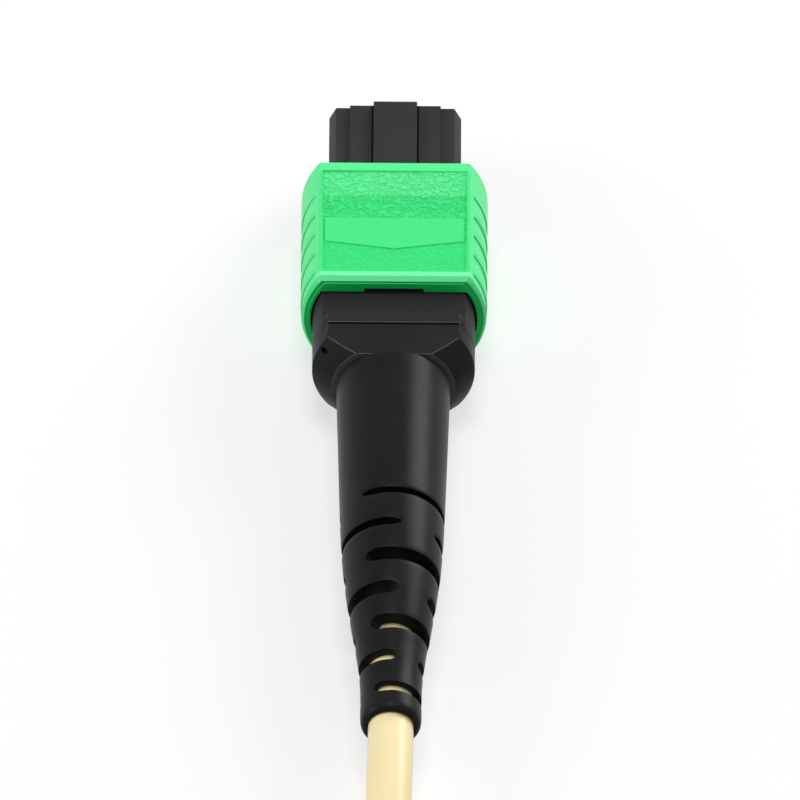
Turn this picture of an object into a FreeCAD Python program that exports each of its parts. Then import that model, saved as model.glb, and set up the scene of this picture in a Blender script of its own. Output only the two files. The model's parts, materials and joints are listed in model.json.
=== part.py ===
"""MPO fibre connector on a round pigtail cable, as a parametric FreeCAD document.

Frame: the origin is the centre of the plug's nose plane, +Y is the mating direction, +Z is the
key side. Lengths called "behind the nose" run along -Y. All lengths are in millimetres.
"""
import FreeCAD, Part
import math
import os
import Sketcher

Vector = FreeCAD.Vector
doc = FreeCAD.newDocument("mpo_connector")
sheet = doc.addObject("Spreadsheet::Sheet", "sizes")

FIBRE_COLOURS = ("blue", "orange", "green", "brown", "slate", "white",
                 "red", "black", "yellow", "violet", "rose", "aqua")
ROW_HALF = (len(FIBRE_COLOURS) - 1) / 2
SLOT_WIDTHS = (0.5, 0.6, 1.0, 1.1, 1.2, 0.9, 0.85)
GLASS_SIDES = 8
WIRE_SIDES = 5
SPRING_STEPS = 10
NEAR = 1e-4

# ---------------------------------------------------------------- driving sizes
SIZES = [
    ("fit_gap", 0.08, "gap between flat faces that slide or seat"),
    ("round_gap", 0.13, "gap between curved faces of different pieces"),
    ("seat_gap", 0.02, "gap at an end face that a piece rests against"),
    ("cut_past", 0.3, "how far a cut starts outside the face that it opens"),
    ("join_depth", 0.5, "how far a form runs into the one that it grows from"),
    # inner housing
    ("plug_width", 8.8, "width of the plug that enters the adapter"),
    ("plug_height", 5.2, "height over the housing's flats"),
    ("plug_corner_run", 0.46, "corner bevel, across"),
    ("plug_corner_rise", 1.0, "corner bevel, down"),
    ("plug_length", 6.25, "nose to the broad body"),
    ("pad_width", 6.05, "raised pad under the key"),
    ("pad_height", 0.26, "pad above the flat"),
    ("key_width", 2.9, "polarity key"),
    ("key_height", 0.67, "key above the flat"),
    ("nose_bevel", 0.3, "lead-in round the nose"),
    ("body_radius", 5.4, "round sides of housing, collar and flange"),
    ("collar_height", 6.48, "height over the collar's flats"),
    ("collar_length", 0.9, "collar at the housing's rear"),
    ("housing_length", 20.58, "nose to the housing's rear face"),
    ("side_wall", 0.42, "wall between chamber and side channel"),
    ("hook_height", 3.4, "recess for the adapter's hooks"),
    ("hook_start", 4.9, "recess front, behind the nose"),
    ("hook_length", 2.7, "recess length"),
    # coupling
    ("coupling_width", 12.4, "overall width of the sleeve"),
    ("coupling_height", 7.7, "overall height of the sleeve"),
    ("coupling_side_radius", 6.7, "radius of its bowed sides"),
    ("coupling_length", 10.78, "sleeve length"),
    ("coupling_gap", 0.2, "broad body's front to the sleeve's front"),
    ("coupling_travel", 2.0, "pull back to unlatch"),
    ("key_channel_width", 3.93, "channel in the sleeve's bore"),
    ("key_channel_depth", 0.3, "channel above the bore"),
    ("tab_start", 2.8, "sleeve's front to its inner tabs"),
    ("tab_length", 1.0, "inner tab length"),
    ("tab_height", 1.2, "inner tab height"),
    ("rim_bevel", 0.1, "bevel of the sleeve's end edges"),
    ("land_height", 6.9, "raised land on the rear face"),
    ("land_radius", 5.74, "round sides of the land"),
    ("land_rise", 0.06, "land above the rear face"),
    ("front_band", 0.8, "smooth band at the sleeve's front"),
    ("grip_half_width", 4.8, "half width of the textured grip"),
    ("grip_depth", 0.1, "grip below the smooth face"),
    ("grip_slope_start", 3.0, "sleeve's front to the sloping band"),
    ("grip_slope_length", 1.0, "sloping band"),
    ("grip_step", 0.22, "depth of the low band in front of the panel"),
    ("panel_start", 5.13, "sleeve's front to the plain panel"),
    ("panel_half_width", 4.62, "half width of the plain panel"),
    ("panel_side_length", 2.1, "panel length at its sides"),
    ("panel_centre_length", 2.8, "panel length at its middle"),
    ("panel_drop", 0.03, "panel below the smooth face"),
    ("lip_length", 0.75, "smooth lip at the sleeve's rear"),
    ("rib_count", 5, "grip ribs on each side"),
    ("rib_start", 2.7, "sleeve's front to the first rib step"),
    ("rib_pitch", 1.775, "spacing of the ribs"),
    ("rib_depth", 0.09, "height of each rib step"),
    ("rib_ramp", 1.1, "length of each rib's slope"),
    ("rib_half_height", 3.4, "ribs end this far above the axis"),
    # sleeve springs
    ("sleeve_spring_width", 1.3, "round spring, outside"),
    ("sleeve_spring_wire", 0.2, "wire"),
    ("sleeve_spring_length", 6.2, "length at rest"),
    ("sleeve_spring_turns", 7, "turns"),
    # ferrule group
    ("ferrule_width", 6.4, "ferrule"),
    ("ferrule_height", 2.5, "ferrule"),
    ("ferrule_length", 8.0, "ferrule, end face to rear"),
    ("ferrule_reach", 1.2, "ferrule beyond the nose"),
    ("ferrule_travel", 1.0, "ferrule pushed back when mated"),
    ("shoulder_width", 7.0, "ferrule's rear shoulder"),
    ("shoulder_height", 3.0, "ferrule's rear shoulder"),
    ("shoulder_length", 2.0, "ferrule's rear shoulder"),
    ("polish_angle", 8, "end face angle, degrees"),
    ("guide_radius", 0.35, "guide pin hole"),
    ("guide_pitch", 4.6, "guide pin hole spacing"),
    ("cavity_depth", 4.2, "cavity in the ferrule's rear"),
    ("window_width", 3.0, "adhesive window"),
    ("window_length", 1.6, "adhesive window"),
    ("window_start", 3.3, "end face to the window"),
    ("sheath_width", 3.5, "ferrule boot"),
    ("sheath_height", 1.2, "ferrule boot"),
    ("sheath_tail", 0.7, "ferrule boot behind the clamp"),
    ("clamp_length", 1.5, "pin clamp"),
    ("main_spring_width", 6.0, "oval spring, outside"),
    ("main_spring_height", 2.96, "oval spring, outside"),
    ("main_spring_wire", 0.45, "wire"),
    ("main_spring_length", 6.0, "length at rest"),
    ("main_spring_turns", 6, "turns"),
    # spring push
    ("arm_length", 2.3, "latch arms in front of the spring seat"),
    ("arm_thickness", 0.38, "latch arm"),
    ("arm_height", 2.0, "latch arm"),
    ("barb_length", 1.0, "latch barb"),
    ("barb_offset", 0.6, "arm tip to its barb"),
    ("barb_reach", 0.38, "barb beyond the arm"),
    ("barb_height", 1.1, "latch barb"),
    ("flange_length", 2.9, "flange behind the housing"),
    ("cone_length", 1.5, "rear cone of the flange"),
    ("cone_radius", 4.08, "cone's small end"),
    ("dimple_radius", 0.24, "mark in the cone"),
    ("dimple_offset", 4.55, "mark from the axis, across"),
    ("dimple_rise", 2.2, "mark above the axis"),
    ("barrel_radius", 2.45, "crimp barrel"),
    ("barrel_length", 7.0, "crimp barrel"),
    ("barrel_bore", 1.7, "fibre passage radius"),
    ("barrel_rings", 3, "grip rings on the barrel"),
    ("barrel_ring_depth", 0.12, "grip rings"),
    ("barrel_ring_width", 0.6, "grip rings"),
    ("barrel_ring_margin", 1.3, "barrel's ends to the middle of the nearest grip ring"),
    # crimp, yarn and cable
    ("yarn_thickness", 0.13, "aramid yarn layer"),
    ("crimp_wall", 0.38, "crimp ring wall"),
    ("crimp_start", 0.5, "flange to the crimp ring"),
    ("crimp_cone", 1.2, "crimp ring's step down to the cable"),
    ("crimp_tail", 3.0, "crimp ring on the cable"),
    ("crimp_ease", 0.2, "crimp ring's step behind the yarn's step"),
    ("cable_diameter", 3.0, "round cable"),
    ("cable_bore", 1.9, "inside of the cable's jacket"),
    ("fibre_diameter", 0.24, "coated fibre"),
    ("glass_diameter", 0.125, "bare fibre in the ferrule"),
    ("fibre_pitch", 0.25, "fibre spacing"),
    ("bundle_radius", 0.52, "ring of fibres in the cable"),
    ("fibre_parting", 2.5, "ribbon's end to where its fibres have parted"),
    # strain relief boot
    ("boot_gap", 0.12, "flange to the boot"),
    ("boot_radius", 3.8, "boot at the flange"),
    ("boot_taper_length", 12.8, "straight taper"),
    ("boot_taper_radius", 3.46, "end of the straight taper"),
    ("boot_shoulder_length", 4.8, "from the taper to the shoulder's end"),
    ("boot_shoulder_radius", 3.18, "shoulder's end"),
    ("boot_waist_length", 4.4, "from the shoulder to the waist"),
    ("boot_waist_radius", 2.64, "waist"),
    ("boot_ankle_length", 3.0, "from the waist to the ankle"),
    ("boot_ankle_radius", 2.22, "ankle"),
    ("boot_heel_length", 2.2, "from the ankle to the slim tail"),
    ("boot_tail_radius", 2.03, "slim tail"),
    ("boot_tail_length", 3.5, "slim tail"),
    ("boot_end_bevel", 0.3, "bevel of the tail's end"),
    ("boot_ease", 0.5, "steps of the boot's bore behind those of the crimp ring"),
    ("slot_start", 12.35, "boot's front to the first slot"),
    ("slot_pitch", 2.73, "slot spacing"),
    ("slot_angle", 135, "length of each slot round the boot, degrees"),
    ("slot_turn", 33, "middle of the first slot from straight up, degrees"),
    # free cable
    ("rest_height", 3.85, "axis above the surface it lies on"),
    ("hank_fold", 10.7, "radius at the middle of the hank's folds"),
    ("hank_straight", 35, "hank between its folds"),
    ("hank_across", 2, "turns side by side"),
    ("hank_layers", 4, "turns on each other"),
    ("hank_front", 72, "nose to the hank"),
    ("hank_offset", 2.7, "first turn to the connector's axis, across"),
    ("hank_bevel", 0.9, "bevel of the hank's edges"),
    ("tie_thickness", 0.3, "strap round the hank"),
    ("tie_width", 8, "strap round the hank"),
    ("tie_rounding", 0.5, "inner corners of the strap"),
]

DERIVED = [
    ("flat_half", "=plug_height / 2"),
    ("collar_half", "=collar_height / 2"),
    ("collar_start", "=housing_length - collar_length"),
    ("coupling_start", "=plug_length + coupling_gap"),
    ("coupling_half", "=coupling_height / 2"),
    ("side_shift", "=coupling_side_radius - coupling_width / 2"),
    ("bore_radius", "=body_radius + round_gap"),
    ("bore_half", "=flat_half + fit_gap"),
    ("shoulder_start", "=ferrule_length - ferrule_reach - shoulder_length"),
    ("ferrule_rear", "=ferrule_length - ferrule_reach"),
    ("chamber_width", "=shoulder_width + 2 * fit_gap"),
    ("chamber_height", "=shoulder_height + 2 * fit_gap"),
    ("channel_floor", "=chamber_width / 2 + side_wall"),
    ("tab_front", "=coupling_start + tab_start"),
    ("tab_rear", "=tab_front + tab_length"),
    ("channel_rear", "=tab_rear + sleeve_spring_length + 2 * seat_gap"),
    ("sleeve_spring_height", "=sleeve_spring_width"),
    ("channel_height", "=sleeve_spring_width + 2 * fit_gap"),
    ("clamp_rear", "=ferrule_rear + clamp_length"),
    ("spring_seat", "=clamp_rear + main_spring_length + 2 * seat_gap"),
    ("arm_outside", "=shoulder_width / 2"),
    ("arm_tip", "=spring_seat - arm_length"),
    ("barb_front", "=arm_tip + barb_offset"),
    ("flange_rear", "=housing_length + flange_length"),
    ("barrel_rear", "=flange_rear + barrel_length"),
    ("yarn_radius", "=barrel_radius + yarn_thickness"),
    ("crimp_radius", "=yarn_radius + seat_gap + crimp_wall"),
    ("crimp_front", "=flange_rear + crimp_start"),
    ("cable_radius", "=cable_diameter / 2"),
    ("cable_front", "=barrel_rear + crimp_cone"),
    ("crimp_rear", "=cable_front + crimp_tail"),
    ("boot_front", "=flange_rear + boot_gap"),
    ("slim_front", "=boot_front + boot_taper_length + boot_shoulder_length + boot_waist_length"
                   " + boot_ankle_length + boot_heel_length"),
    ("boot_rear", "=slim_front + boot_tail_length"),
    ("fibre_rear", "=boot_rear - ferrule_travel - fit_gap"),
    ("cavity_width", "=sheath_width + 2 * seat_gap"),
    ("cavity_height", "=sheath_height + 2 * seat_gap"),
    ("ribbon_width", f"=2 * {ROW_HALF} * fibre_pitch + fibre_diameter + 4 * seat_gap"),
    ("ribbon_height", "=fibre_diameter + 4 * seat_gap"),
    ("hank_half", "=hank_across * cable_diameter / 2"),
    ("hank_outside", "=hank_fold + hank_half"),
    ("hank_inside", "=hank_fold - hank_half"),
    ("hank_middle", "=hank_outside - cable_radius - hank_offset"),
    ("hank_height", "=hank_layers * cable_diameter"),
    ("hank_bottom", "=tie_thickness + seat_gap - rest_height"),
    ("first_fold", "=hank_front + hank_outside"),
    ("second_fold", "=first_fold + hank_straight"),
]

NAMES = {row[0] for row in SIZES + DERIVED}


def fill_sheet():
    """Write every size as text in column B, with its name as the cell's alias."""
    for row, (alias, number, note) in enumerate(SIZES, start=1):
        sheet.set(f"A{row}", note)
        sheet.set(f"B{row}", str(number))
        sheet.setAlias(f"B{row}", alias)
    for row, (alias, formula) in enumerate(DERIVED, start=len(SIZES) + 1):
        sheet.set(f"B{row}", formula)
        sheet.setAlias(f"B{row}", alias)
    doc.recompute()


fill_sheet()


def size(text):
    """The number that an expression of sheet names gives now."""
    return float(sheet.evalExpression(text))


def linked(text):
    """The same expression with each sheet name written as a reference to the sheet."""
    words = []
    word = ""
    for letter in text + " ":
        if letter.isalnum() or letter in "_.":
            word += letter
            continue
        words.append(f"sizes.{word}" if word in NAMES else word)
        words.append(letter)
        word = ""
    return "".join(words).strip()


def bind(thing, **formulas):
    """Bind properties of an object to expressions; Base_y stands for Placement.Base.y."""
    for name, text in formulas.items():
        path = name if "_" not in name else "Placement." + name.replace("_", ".")
        thing.setExpression(path, linked(text))
    return thing


# ---------------------------------------------------------------- sketch and feature helpers
def new_body(label):
    body = doc.addObject("PartDesign::Body", label)
    body.Label = label
    return body


def origin_feature(body, role):
    return next(item for item in body.Origin.OriginFeatures if item.Role == role)


def hold(sketch, edge, end, across, up):
    """Hold one end of an edge at two expressions measured from the sketch's origin."""
    for kind, axis, text in (("DistanceX", -2, across), ("DistanceY", -1, up)):
        if text == "0":
            sketch.addConstraint(Sketcher.Constraint("PointOnObject", edge, end, axis))
            continue
        number = sketch.addConstraint(Sketcher.Constraint(kind, -1, 1, edge, end, size(text)))
        sketch.setExpression(f"Constraints[{number}]", linked(text))


def arc_between(first, second, radius):
    """Arc from first to second; a positive radius bulges to the right of that direction."""
    middle = (first + second) / 2
    chord = second - first
    side = Vector(-chord.y, chord.x, 0).normalize()
    reach = math.sqrt(max(radius ** 2 - (chord.Length / 2) ** 2, 0))
    centre = middle + side * math.copysign(reach, radius)
    start, finish = (first, second) if radius > 0 else (second, first)
    angles = [math.atan2(point.y - centre.y, point.x - centre.x) for point in (start, finish)]
    circle = Part.Circle(centre, Vector(0, 0, 1), abs(radius))
    return Part.ArcOfCircle(circle, angles[0], angles[1])


def outline(sketch, corners):
    """Close a loop through the corners. A corner is (across, up), with a third expression where
    an arc of that signed radius runs from it to the next one."""
    points = [Vector(size(corner[0]), size(corner[1]), 0) for corner in corners]
    ends = []
    for index, corner in enumerate(corners):
        start, finish = points[index], points[(index + 1) % len(points)]
        if len(corner) == 2:
            edge = sketch.addGeometry(Part.LineSegment(start, finish))
            ends.append((edge, 1, 2))
            continue
        radius = size(corner[2])
        edge = sketch.addGeometry(arc_between(start, finish, radius))
        ends.append((edge, 1, 2) if radius > 0 else (edge, 2, 1))
    for index, (edge, start, finish) in enumerate(ends):
        after, after_start, _ = ends[(index + 1) % len(ends)]
        sketch.addConstraint(Sketcher.Constraint("Coincident", edge, finish, after, after_start))
    for (edge, start, _), corner in zip(ends, corners):
        hold(sketch, edge, start, corner[0], corner[1])
        if len(corner) == 3:
            radius = size(corner[2])
            number = sketch.addConstraint(Sketcher.Constraint("Radius", edge, abs(radius)))
            sketch.setExpression(f"Constraints[{number}]", linked(f"abs({corner[2]})"))


def new_sketch(body, name, role, lift="0"):
    """Sketch on one of the body's origin planes. On XZ_Plane the lift runs behind the nose."""
    sketch = body.newObject("Sketcher::SketchObject", name)
    sketch.AttachmentSupport = (origin_feature(body, role), [""])
    sketch.MapMode = "FlatFace"
    sketch.setExpression("AttachmentOffset.Base.z", linked(lift))
    return sketch


def section(body, name, lift, *loops):
    """Cross-section sketch, square to the connector's axis, at a distance behind the nose."""
    sketch = new_sketch(body, name, "XZ_Plane", lift)
    for loop in loops:
        outline(sketch, loop)
    return sketch


def profile(body, name, corners):
    """Half outline for turning about the axis: corners are (radius, distance behind the nose)."""
    sketch = new_sketch(body, name, "XY_Plane")
    outline(sketch, [(corner[0], f"-({corner[1]})") + tuple(corner[2:]) for corner in corners])
    return sketch


def box_loop(left, right, low, high):
    return [(left, low), (right, low), (right, high), (left, high)]


def centred_loop(width, height):
    return box_loop(f"-({width}) / 2", f"({width}) / 2", f"-({height}) / 2", f"({height}) / 2")


def flatted_loop(radius, half, shift="0"):
    """Round sides cut by two flats; the side arcs' centres are shifted past the middle."""
    edge = f"sqrt(({radius})^2 - ({half})^2) - ({shift})"
    return [(f"-({edge})", f"-({half})"), (edge, f"-({half})", radius),
            (edge, half), (f"-({edge})", half, radius)]


def circle_loop(sketch, across, up, radius):
    """Full circle held by its centre."""
    centre = Vector(size(across), size(up), 0)
    edge = sketch.addGeometry(Part.Circle(centre, Vector(0, 0, 1), size(radius)))
    hold(sketch, edge, 3, across, up)
    number = sketch.addConstraint(Sketcher.Constraint("Radius", edge, size(radius)))
    sketch.setExpression(f"Constraints[{number}]", linked(radius))


def pad(body, sketch, length, both_ways=False):
    feature = body.newObject("PartDesign::Pad", f"{sketch.Name}_pad")
    feature.Profile = sketch
    feature.setExpression("Length", linked(length))
    feature.Midplane = both_ways
    return feature


def pocket(body, sketch, length, both_ways=False):
    """Cut that runs the way a pad would: behind the nose on a cross-section."""
    feature = body.newObject("PartDesign::Pocket", f"{sketch.Name}_pocket")
    feature.Profile = sketch
    feature.setExpression("Length", linked(length))
    feature.Reversed = not both_ways
    feature.Midplane = both_ways
    return feature


def turned(body, sketch, kind="Revolution"):
    feature = body.newObject(f"PartDesign::{kind}", f"{sketch.Name}_turn")
    feature.Profile = sketch
    feature.ReferenceAxis = (sketch, ["V_Axis"])
    feature.Angle = 360
    return feature


def soften(body, kind, name, amount, wanted):
    """Fillet or chamfer every edge of the body's tip that the test accepts."""
    doc.recompute()
    tip = body.Tip
    edges = [f"Edge{number}" for number, edge in enumerate(tip.Shape.Edges, start=1) if wanted(edge)]
    feature = body.newObject(f"PartDesign::{kind}", name)
    feature.Base = (tip, edges)
    feature.setExpression("Radius" if kind == "Fillet" else "Size", linked(amount))
    return feature


def repeat(body, feature, name, length, count, role="Y_Axis"):
    """Copies of a feature in a row, behind the first one or across."""
    doc.recompute()
    row = body.newObject("PartDesign::LinearPattern", name)
    row.Originals = [feature]
    row.Direction = (origin_feature(body, role), [""])
    row.Reversed = role == "Y_Axis"
    row.setExpression("Length", linked(length))
    row.setExpression("Occurrences", linked(count))
    body.Tip = row


def lies_at(edge, behind):
    """True for an edge that lies wholly in the plane at this distance behind the nose."""
    box = edge.BoundBox
    return abs(box.YMin + behind) < NEAR and abs(box.YMax + behind) < NEAR


def reach(edge):
    """Largest distance from the axis, across or up, that an edge's box has."""
    box = edge.BoundBox
    return max(abs(box.XMin), abs(box.XMax)), max(abs(box.ZMin), abs(box.ZMax))


def same(number, text):
    """True where a measured length is what the expression gives."""
    return abs(number - size(text)) < NEAR


def runs_along(edge):
    """True for an edge parallel to the connector's axis."""
    return edge.BoundBox.YLength > edge.Length - NEAR


# ---------------------------------------------------------------- inner housing
def make_inner_housing():
    body = new_body("inner_housing")
    across, up = "plug_width / 2", "flat_half"
    inner, lower = f"{across} - plug_corner_run", f"{up} - plug_corner_rise"
    plug = [(f"-({inner})", f"-{up}"), (inner, f"-{up}"), (across, f"-({lower})"), (across, lower),
            (inner, up), (f"-({inner})", up), (f"-({across})", lower), (f"-({across})", f"-({lower})")]
    pad(body, section(body, "plug", "0", plug), "plug_length")
    pad(body, section(body, "broad_body", "plug_length", flatted_loop("body_radius", up)),
        "collar_start - plug_length")
    pad(body, section(body, "collar", "collar_start", flatted_loop("body_radius", "collar_half")),
        "collar_length")
    soften(body, "Chamfer", "nose_lead_in", "nose_bevel",
           lambda edge: lies_at(edge, 0))
    for name, width, height in (("key_pad", "pad_width", "pad_height"), ("key", "key_width", "key_height")):
        raised = box_loop(f"-{width} / 2", f"{width} / 2", "0", f"{up} + {height}")
        pad(body, section(body, name, "nose_bevel", raised), "plug_length - nose_bevel")
    window = centred_loop("ferrule_width + 2 * fit_gap", "ferrule_height + 2 * fit_gap")
    pocket(body, section(body, "ferrule_window", "0", window), "shoulder_start")
    chamber = centred_loop("chamber_width", "chamber_height")
    pocket(body, section(body, "chamber", "shoulder_start - seat_gap", chamber),
           "housing_length - shoulder_start + seat_gap")
    far = "body_radius + cut_past"
    sides = {"right": ("channel_floor", far), "left": (f"-({far})", "-channel_floor")}
    for side, (left, right) in sides.items():
        hook = box_loop(left, right, "-hook_height / 2", "hook_height / 2")
        pocket(body, section(body, f"hook_recess_{side}", "hook_start", hook), "hook_length")
        channel = box_loop(left, right, "-channel_height / 2", "channel_height / 2")
        pocket(body, section(body, f"spring_channel_{side}", "tab_front - seat_gap", channel),
               "channel_rear - tab_front + seat_gap")
    window = section(body, "latch_windows", "barb_front - fit_gap",
                     centred_loop("2 * channel_floor + fit_gap", "barb_height + 2 * fit_gap"))
    pocket(body, window, "barb_length + 2 * fit_gap")
    soften(body, "Fillet", "collar_rounding", "fit_gap",
           lambda edge: lies_at(edge, size("housing_length")) and same(reach(edge)[1], "collar_half"))


# ---------------------------------------------------------------- pull sleeve
def side_ribs(body, side):
    """Saw-tooth ribs turned about the bowed side's own axis: a step, then a slope rearwards."""
    sign = 1 if side == "right" else -1
    sketch = new_sketch(body, f"rib_{side}", "XY_Plane")
    crest = f"{sign} * coupling_width / 2"
    clear = f"{sign} * (coupling_width / 2 + cut_past)"
    floor = f"{sign} * (coupling_width / 2 - rib_depth)"
    step = "coupling_start + rib_start"
    ramp = f"{step} + rib_ramp"
    outline(sketch, [(floor, f"-({step})"), (clear, f"-({step})"),
                     (clear, f"-({ramp})"), (crest, f"-({ramp})")])
    centre = f"{-sign} * side_shift"
    ends = Vector(size(centre), 0, 0), Vector(size(centre), -size(step), 0)
    axis = sketch.addGeometry(Part.LineSegment(*ends), True)
    hold(sketch, axis, 1, centre, "0")
    hold(sketch, axis, 2, centre, f"-({step})")
    groove = body.newObject("PartDesign::Groove", f"rib_{side}_groove")
    groove.Profile = sketch
    groove.ReferenceAxis = (sketch, ["Axis0"])
    groove.Midplane = True
    groove.setExpression("Angle", linked("2 * asin(rib_half_height / coupling_side_radius)"))
    repeat(body, groove, f"ribs_{side}", "(rib_count - 1) * rib_pitch", "rib_count")


def grip_face(body):
    """Sunken grip on the top face: a low band slopes down to the step in front of the panel."""
    clear = "coupling_half + cut_past"
    shallow = "coupling_half - grip_depth"
    low = "coupling_half - grip_step"
    panel = "coupling_half - panel_drop"
    stations = [("front_band", clear), ("front_band", shallow), ("grip_slope_start", shallow),
                ("grip_slope_start + grip_slope_length", low), ("panel_start", low),
                ("panel_start", panel), ("coupling_length - lip_length", panel),
                ("coupling_length - lip_length", clear)]
    sketch = new_sketch(body, "top_grip", "YZ_Plane")
    outline(sketch, [(f"-(coupling_start + {along})", height) for along, height in stations])
    pocket(body, sketch, "2 * grip_half_width", both_ways=True)


def make_coupling():
    body = new_body("coupling")
    rear = "coupling_start + coupling_length"
    outer = flatted_loop("coupling_side_radius", "coupling_half", "side_shift")
    pad(body, section(body, "sleeve", "coupling_start", outer), "coupling_length")
    soften(body, "Chamfer", "end_bevel", "rim_bevel",
           lambda edge: lies_at(edge, size(rear)) or lies_at(edge, size("coupling_start")))
    land = flatted_loop("land_radius", "land_height / 2")
    pad(body, section(body, "rear_land", rear, land), "land_rise")
    bore = flatted_loop("bore_radius", "bore_half")
    pocket(body, section(body, "bore", "coupling_start", bore), "coupling_length + land_rise")
    half = "key_channel_width / 2"
    channel = box_loop(f"-{half}", half, "0", "bore_half + key_channel_depth")
    pocket(body, section(body, "key_channel", "coupling_start", channel), "coupling_length + land_rise")
    inside, outside = "channel_floor + fit_gap", "bore_radius + cut_past"
    tabs = [box_loop(inside, outside, "-tab_height / 2", "tab_height / 2"),
            box_loop(f"-({outside})", f"-({inside})", "-tab_height / 2", "tab_height / 2")]
    pad(body, section(body, "tabs", "tab_front", *tabs), "tab_length")
    grip_face(body)
    behind = "coupling_start + panel_start"
    right, left = "grip_half_width", "-grip_half_width"
    side = f"-({behind} + panel_side_length)"
    lip = f"-({rear} - lip_length)"
    sketch = new_sketch(body, "panel_edge", "XY_Plane", "coupling_half - grip_depth")
    outline(sketch, [(left, f"-({behind})"), (left, lip), (right, lip), (right, f"-({behind})"),
                     ("panel_half_width", f"-({behind})"), ("panel_half_width", side),
                     ("0", f"-({behind} + panel_centre_length)"), ("-panel_half_width", side),
                     ("-panel_half_width", f"-({behind})")])
    pocket(body, sketch, "grip_depth")
    bottom = new_sketch(body, "bottom_grip", "XY_Plane", "-coupling_half")
    outline(bottom, box_loop(left, right, lip, "-(coupling_start + front_band)"))
    pocket(body, bottom, "grip_depth")
    for name in ("right", "left"):
        side_ribs(body, name)


# ---------------------------------------------------------------- ferrule group
def make_ferrule():
    body = new_body("ferrule")
    front = "-ferrule_reach"
    block = centred_loop("ferrule_width", "ferrule_height")
    pad(body, section(body, "block", front, block), "ferrule_length")
    shoulder = centred_loop("shoulder_width", "shoulder_height")
    pad(body, section(body, "shoulder", "shoulder_start", shoulder), "shoulder_length")
    wedge = new_sketch(body, "polish", "YZ_Plane")
    half = "ferrule_height / 2"
    outline(wedge, [("ferrule_reach", f"-{half}"), ("ferrule_reach + cut_past", f"-{half}"),
                    ("ferrule_reach + cut_past", f"{half} + cut_past"),
                    ("ferrule_reach - (ferrule_height + cut_past) * tan(polish_angle)",
                     f"{half} + cut_past")])
    pocket(body, wedge, "ferrule_width + cut_past", both_ways=True)
    cavity = centred_loop("cavity_width", "cavity_height")
    pocket(body, section(body, "cavity", "ferrule_rear - cavity_depth", cavity), "cavity_depth")
    window = new_sketch(body, "window", "XY_Plane")
    near = "ferrule_reach - window_start"
    outline(window, box_loop("-window_width / 2", "window_width / 2", f"{near} - window_length", near))
    pocket(body, window, "ferrule_height")
    guides = section(body, "guide_holes", front)
    for sign in (1, -1):
        circle_loop(guides, f"{sign} * guide_pitch / 2", "0", "guide_radius")
    pocket(body, guides, "ferrule_length")
    half = "(glass_diameter / 2 + seat_gap)"
    corner = f"{half} * tan({180 / GLASS_SIDES})"
    turns = [(half, f"-{corner}"), (half, corner), (corner, half), (f"-{corner}", half),
             (f"-{half}", corner), (f"-{half}", f"-{corner}"), (f"-{corner}", f"-{half}"),
             (corner, f"-{half}")]
    first = [(f"{across} - {ROW_HALF} * fibre_pitch", up) for across, up in turns]
    hole = pocket(body, section(body, "fibre_hole", front, first), "ferrule_length - cavity_depth")
    repeat(body, hole, "fibre_holes", f"2 * {ROW_HALF} * fibre_pitch", f"2 * {ROW_HALF} + 1", "X_Axis")


def make_ferrule_boot():
    body = new_body("ferrule_boot")
    front = "ferrule_rear - cavity_depth + seat_gap"
    length = "cavity_depth + clamp_length + sheath_tail - seat_gap"
    pad(body, section(body, "sheath", front, centred_loop("sheath_width", "sheath_height")), length)
    pocket(body, section(body, "ribbon_slot", front, centred_loop("ribbon_width", "ribbon_height")), length)
    soften(body, "Chamfer", "sheath_bevel", "sheath_height / 6",
           lambda edge: runs_along(edge) and same(reach(edge)[0], "sheath_width / 2"))


def make_pin_clamp():
    body = new_body("pin_clamp")
    pad(body, section(body, "plate", "ferrule_rear", centred_loop("shoulder_width", "shoulder_height")),
        "clamp_length")
    pocket(body, section(body, "opening", "ferrule_rear", centred_loop("cavity_width", "cavity_height")),
           "clamp_length")
    pins = section(body, "pin_seats", "ferrule_rear")
    for sign in (1, -1):
        circle_loop(pins, f"{sign} * guide_pitch / 2", "0", "guide_radius + seat_gap")
    pocket(body, pins, "clamp_length")
    soften(body, "Chamfer", "plate_bevel", "shoulder_height / 10",
           lambda edge: runs_along(edge) and same(reach(edge)[0], "shoulder_width / 2"))


def bundle_place(index):
    """Place of a fibre in the cable: the row folds into a ring, odd fibres below even ones."""
    step = 360 / len(FIBRE_COLOURS)
    turn = math.radians(180 - step * (index // 2 + 0.5))
    across = size("bundle_radius") * math.cos(turn)
    up = size("bundle_radius") * math.sin(turn)
    return across, up if index % 2 == 0 else -up


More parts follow.
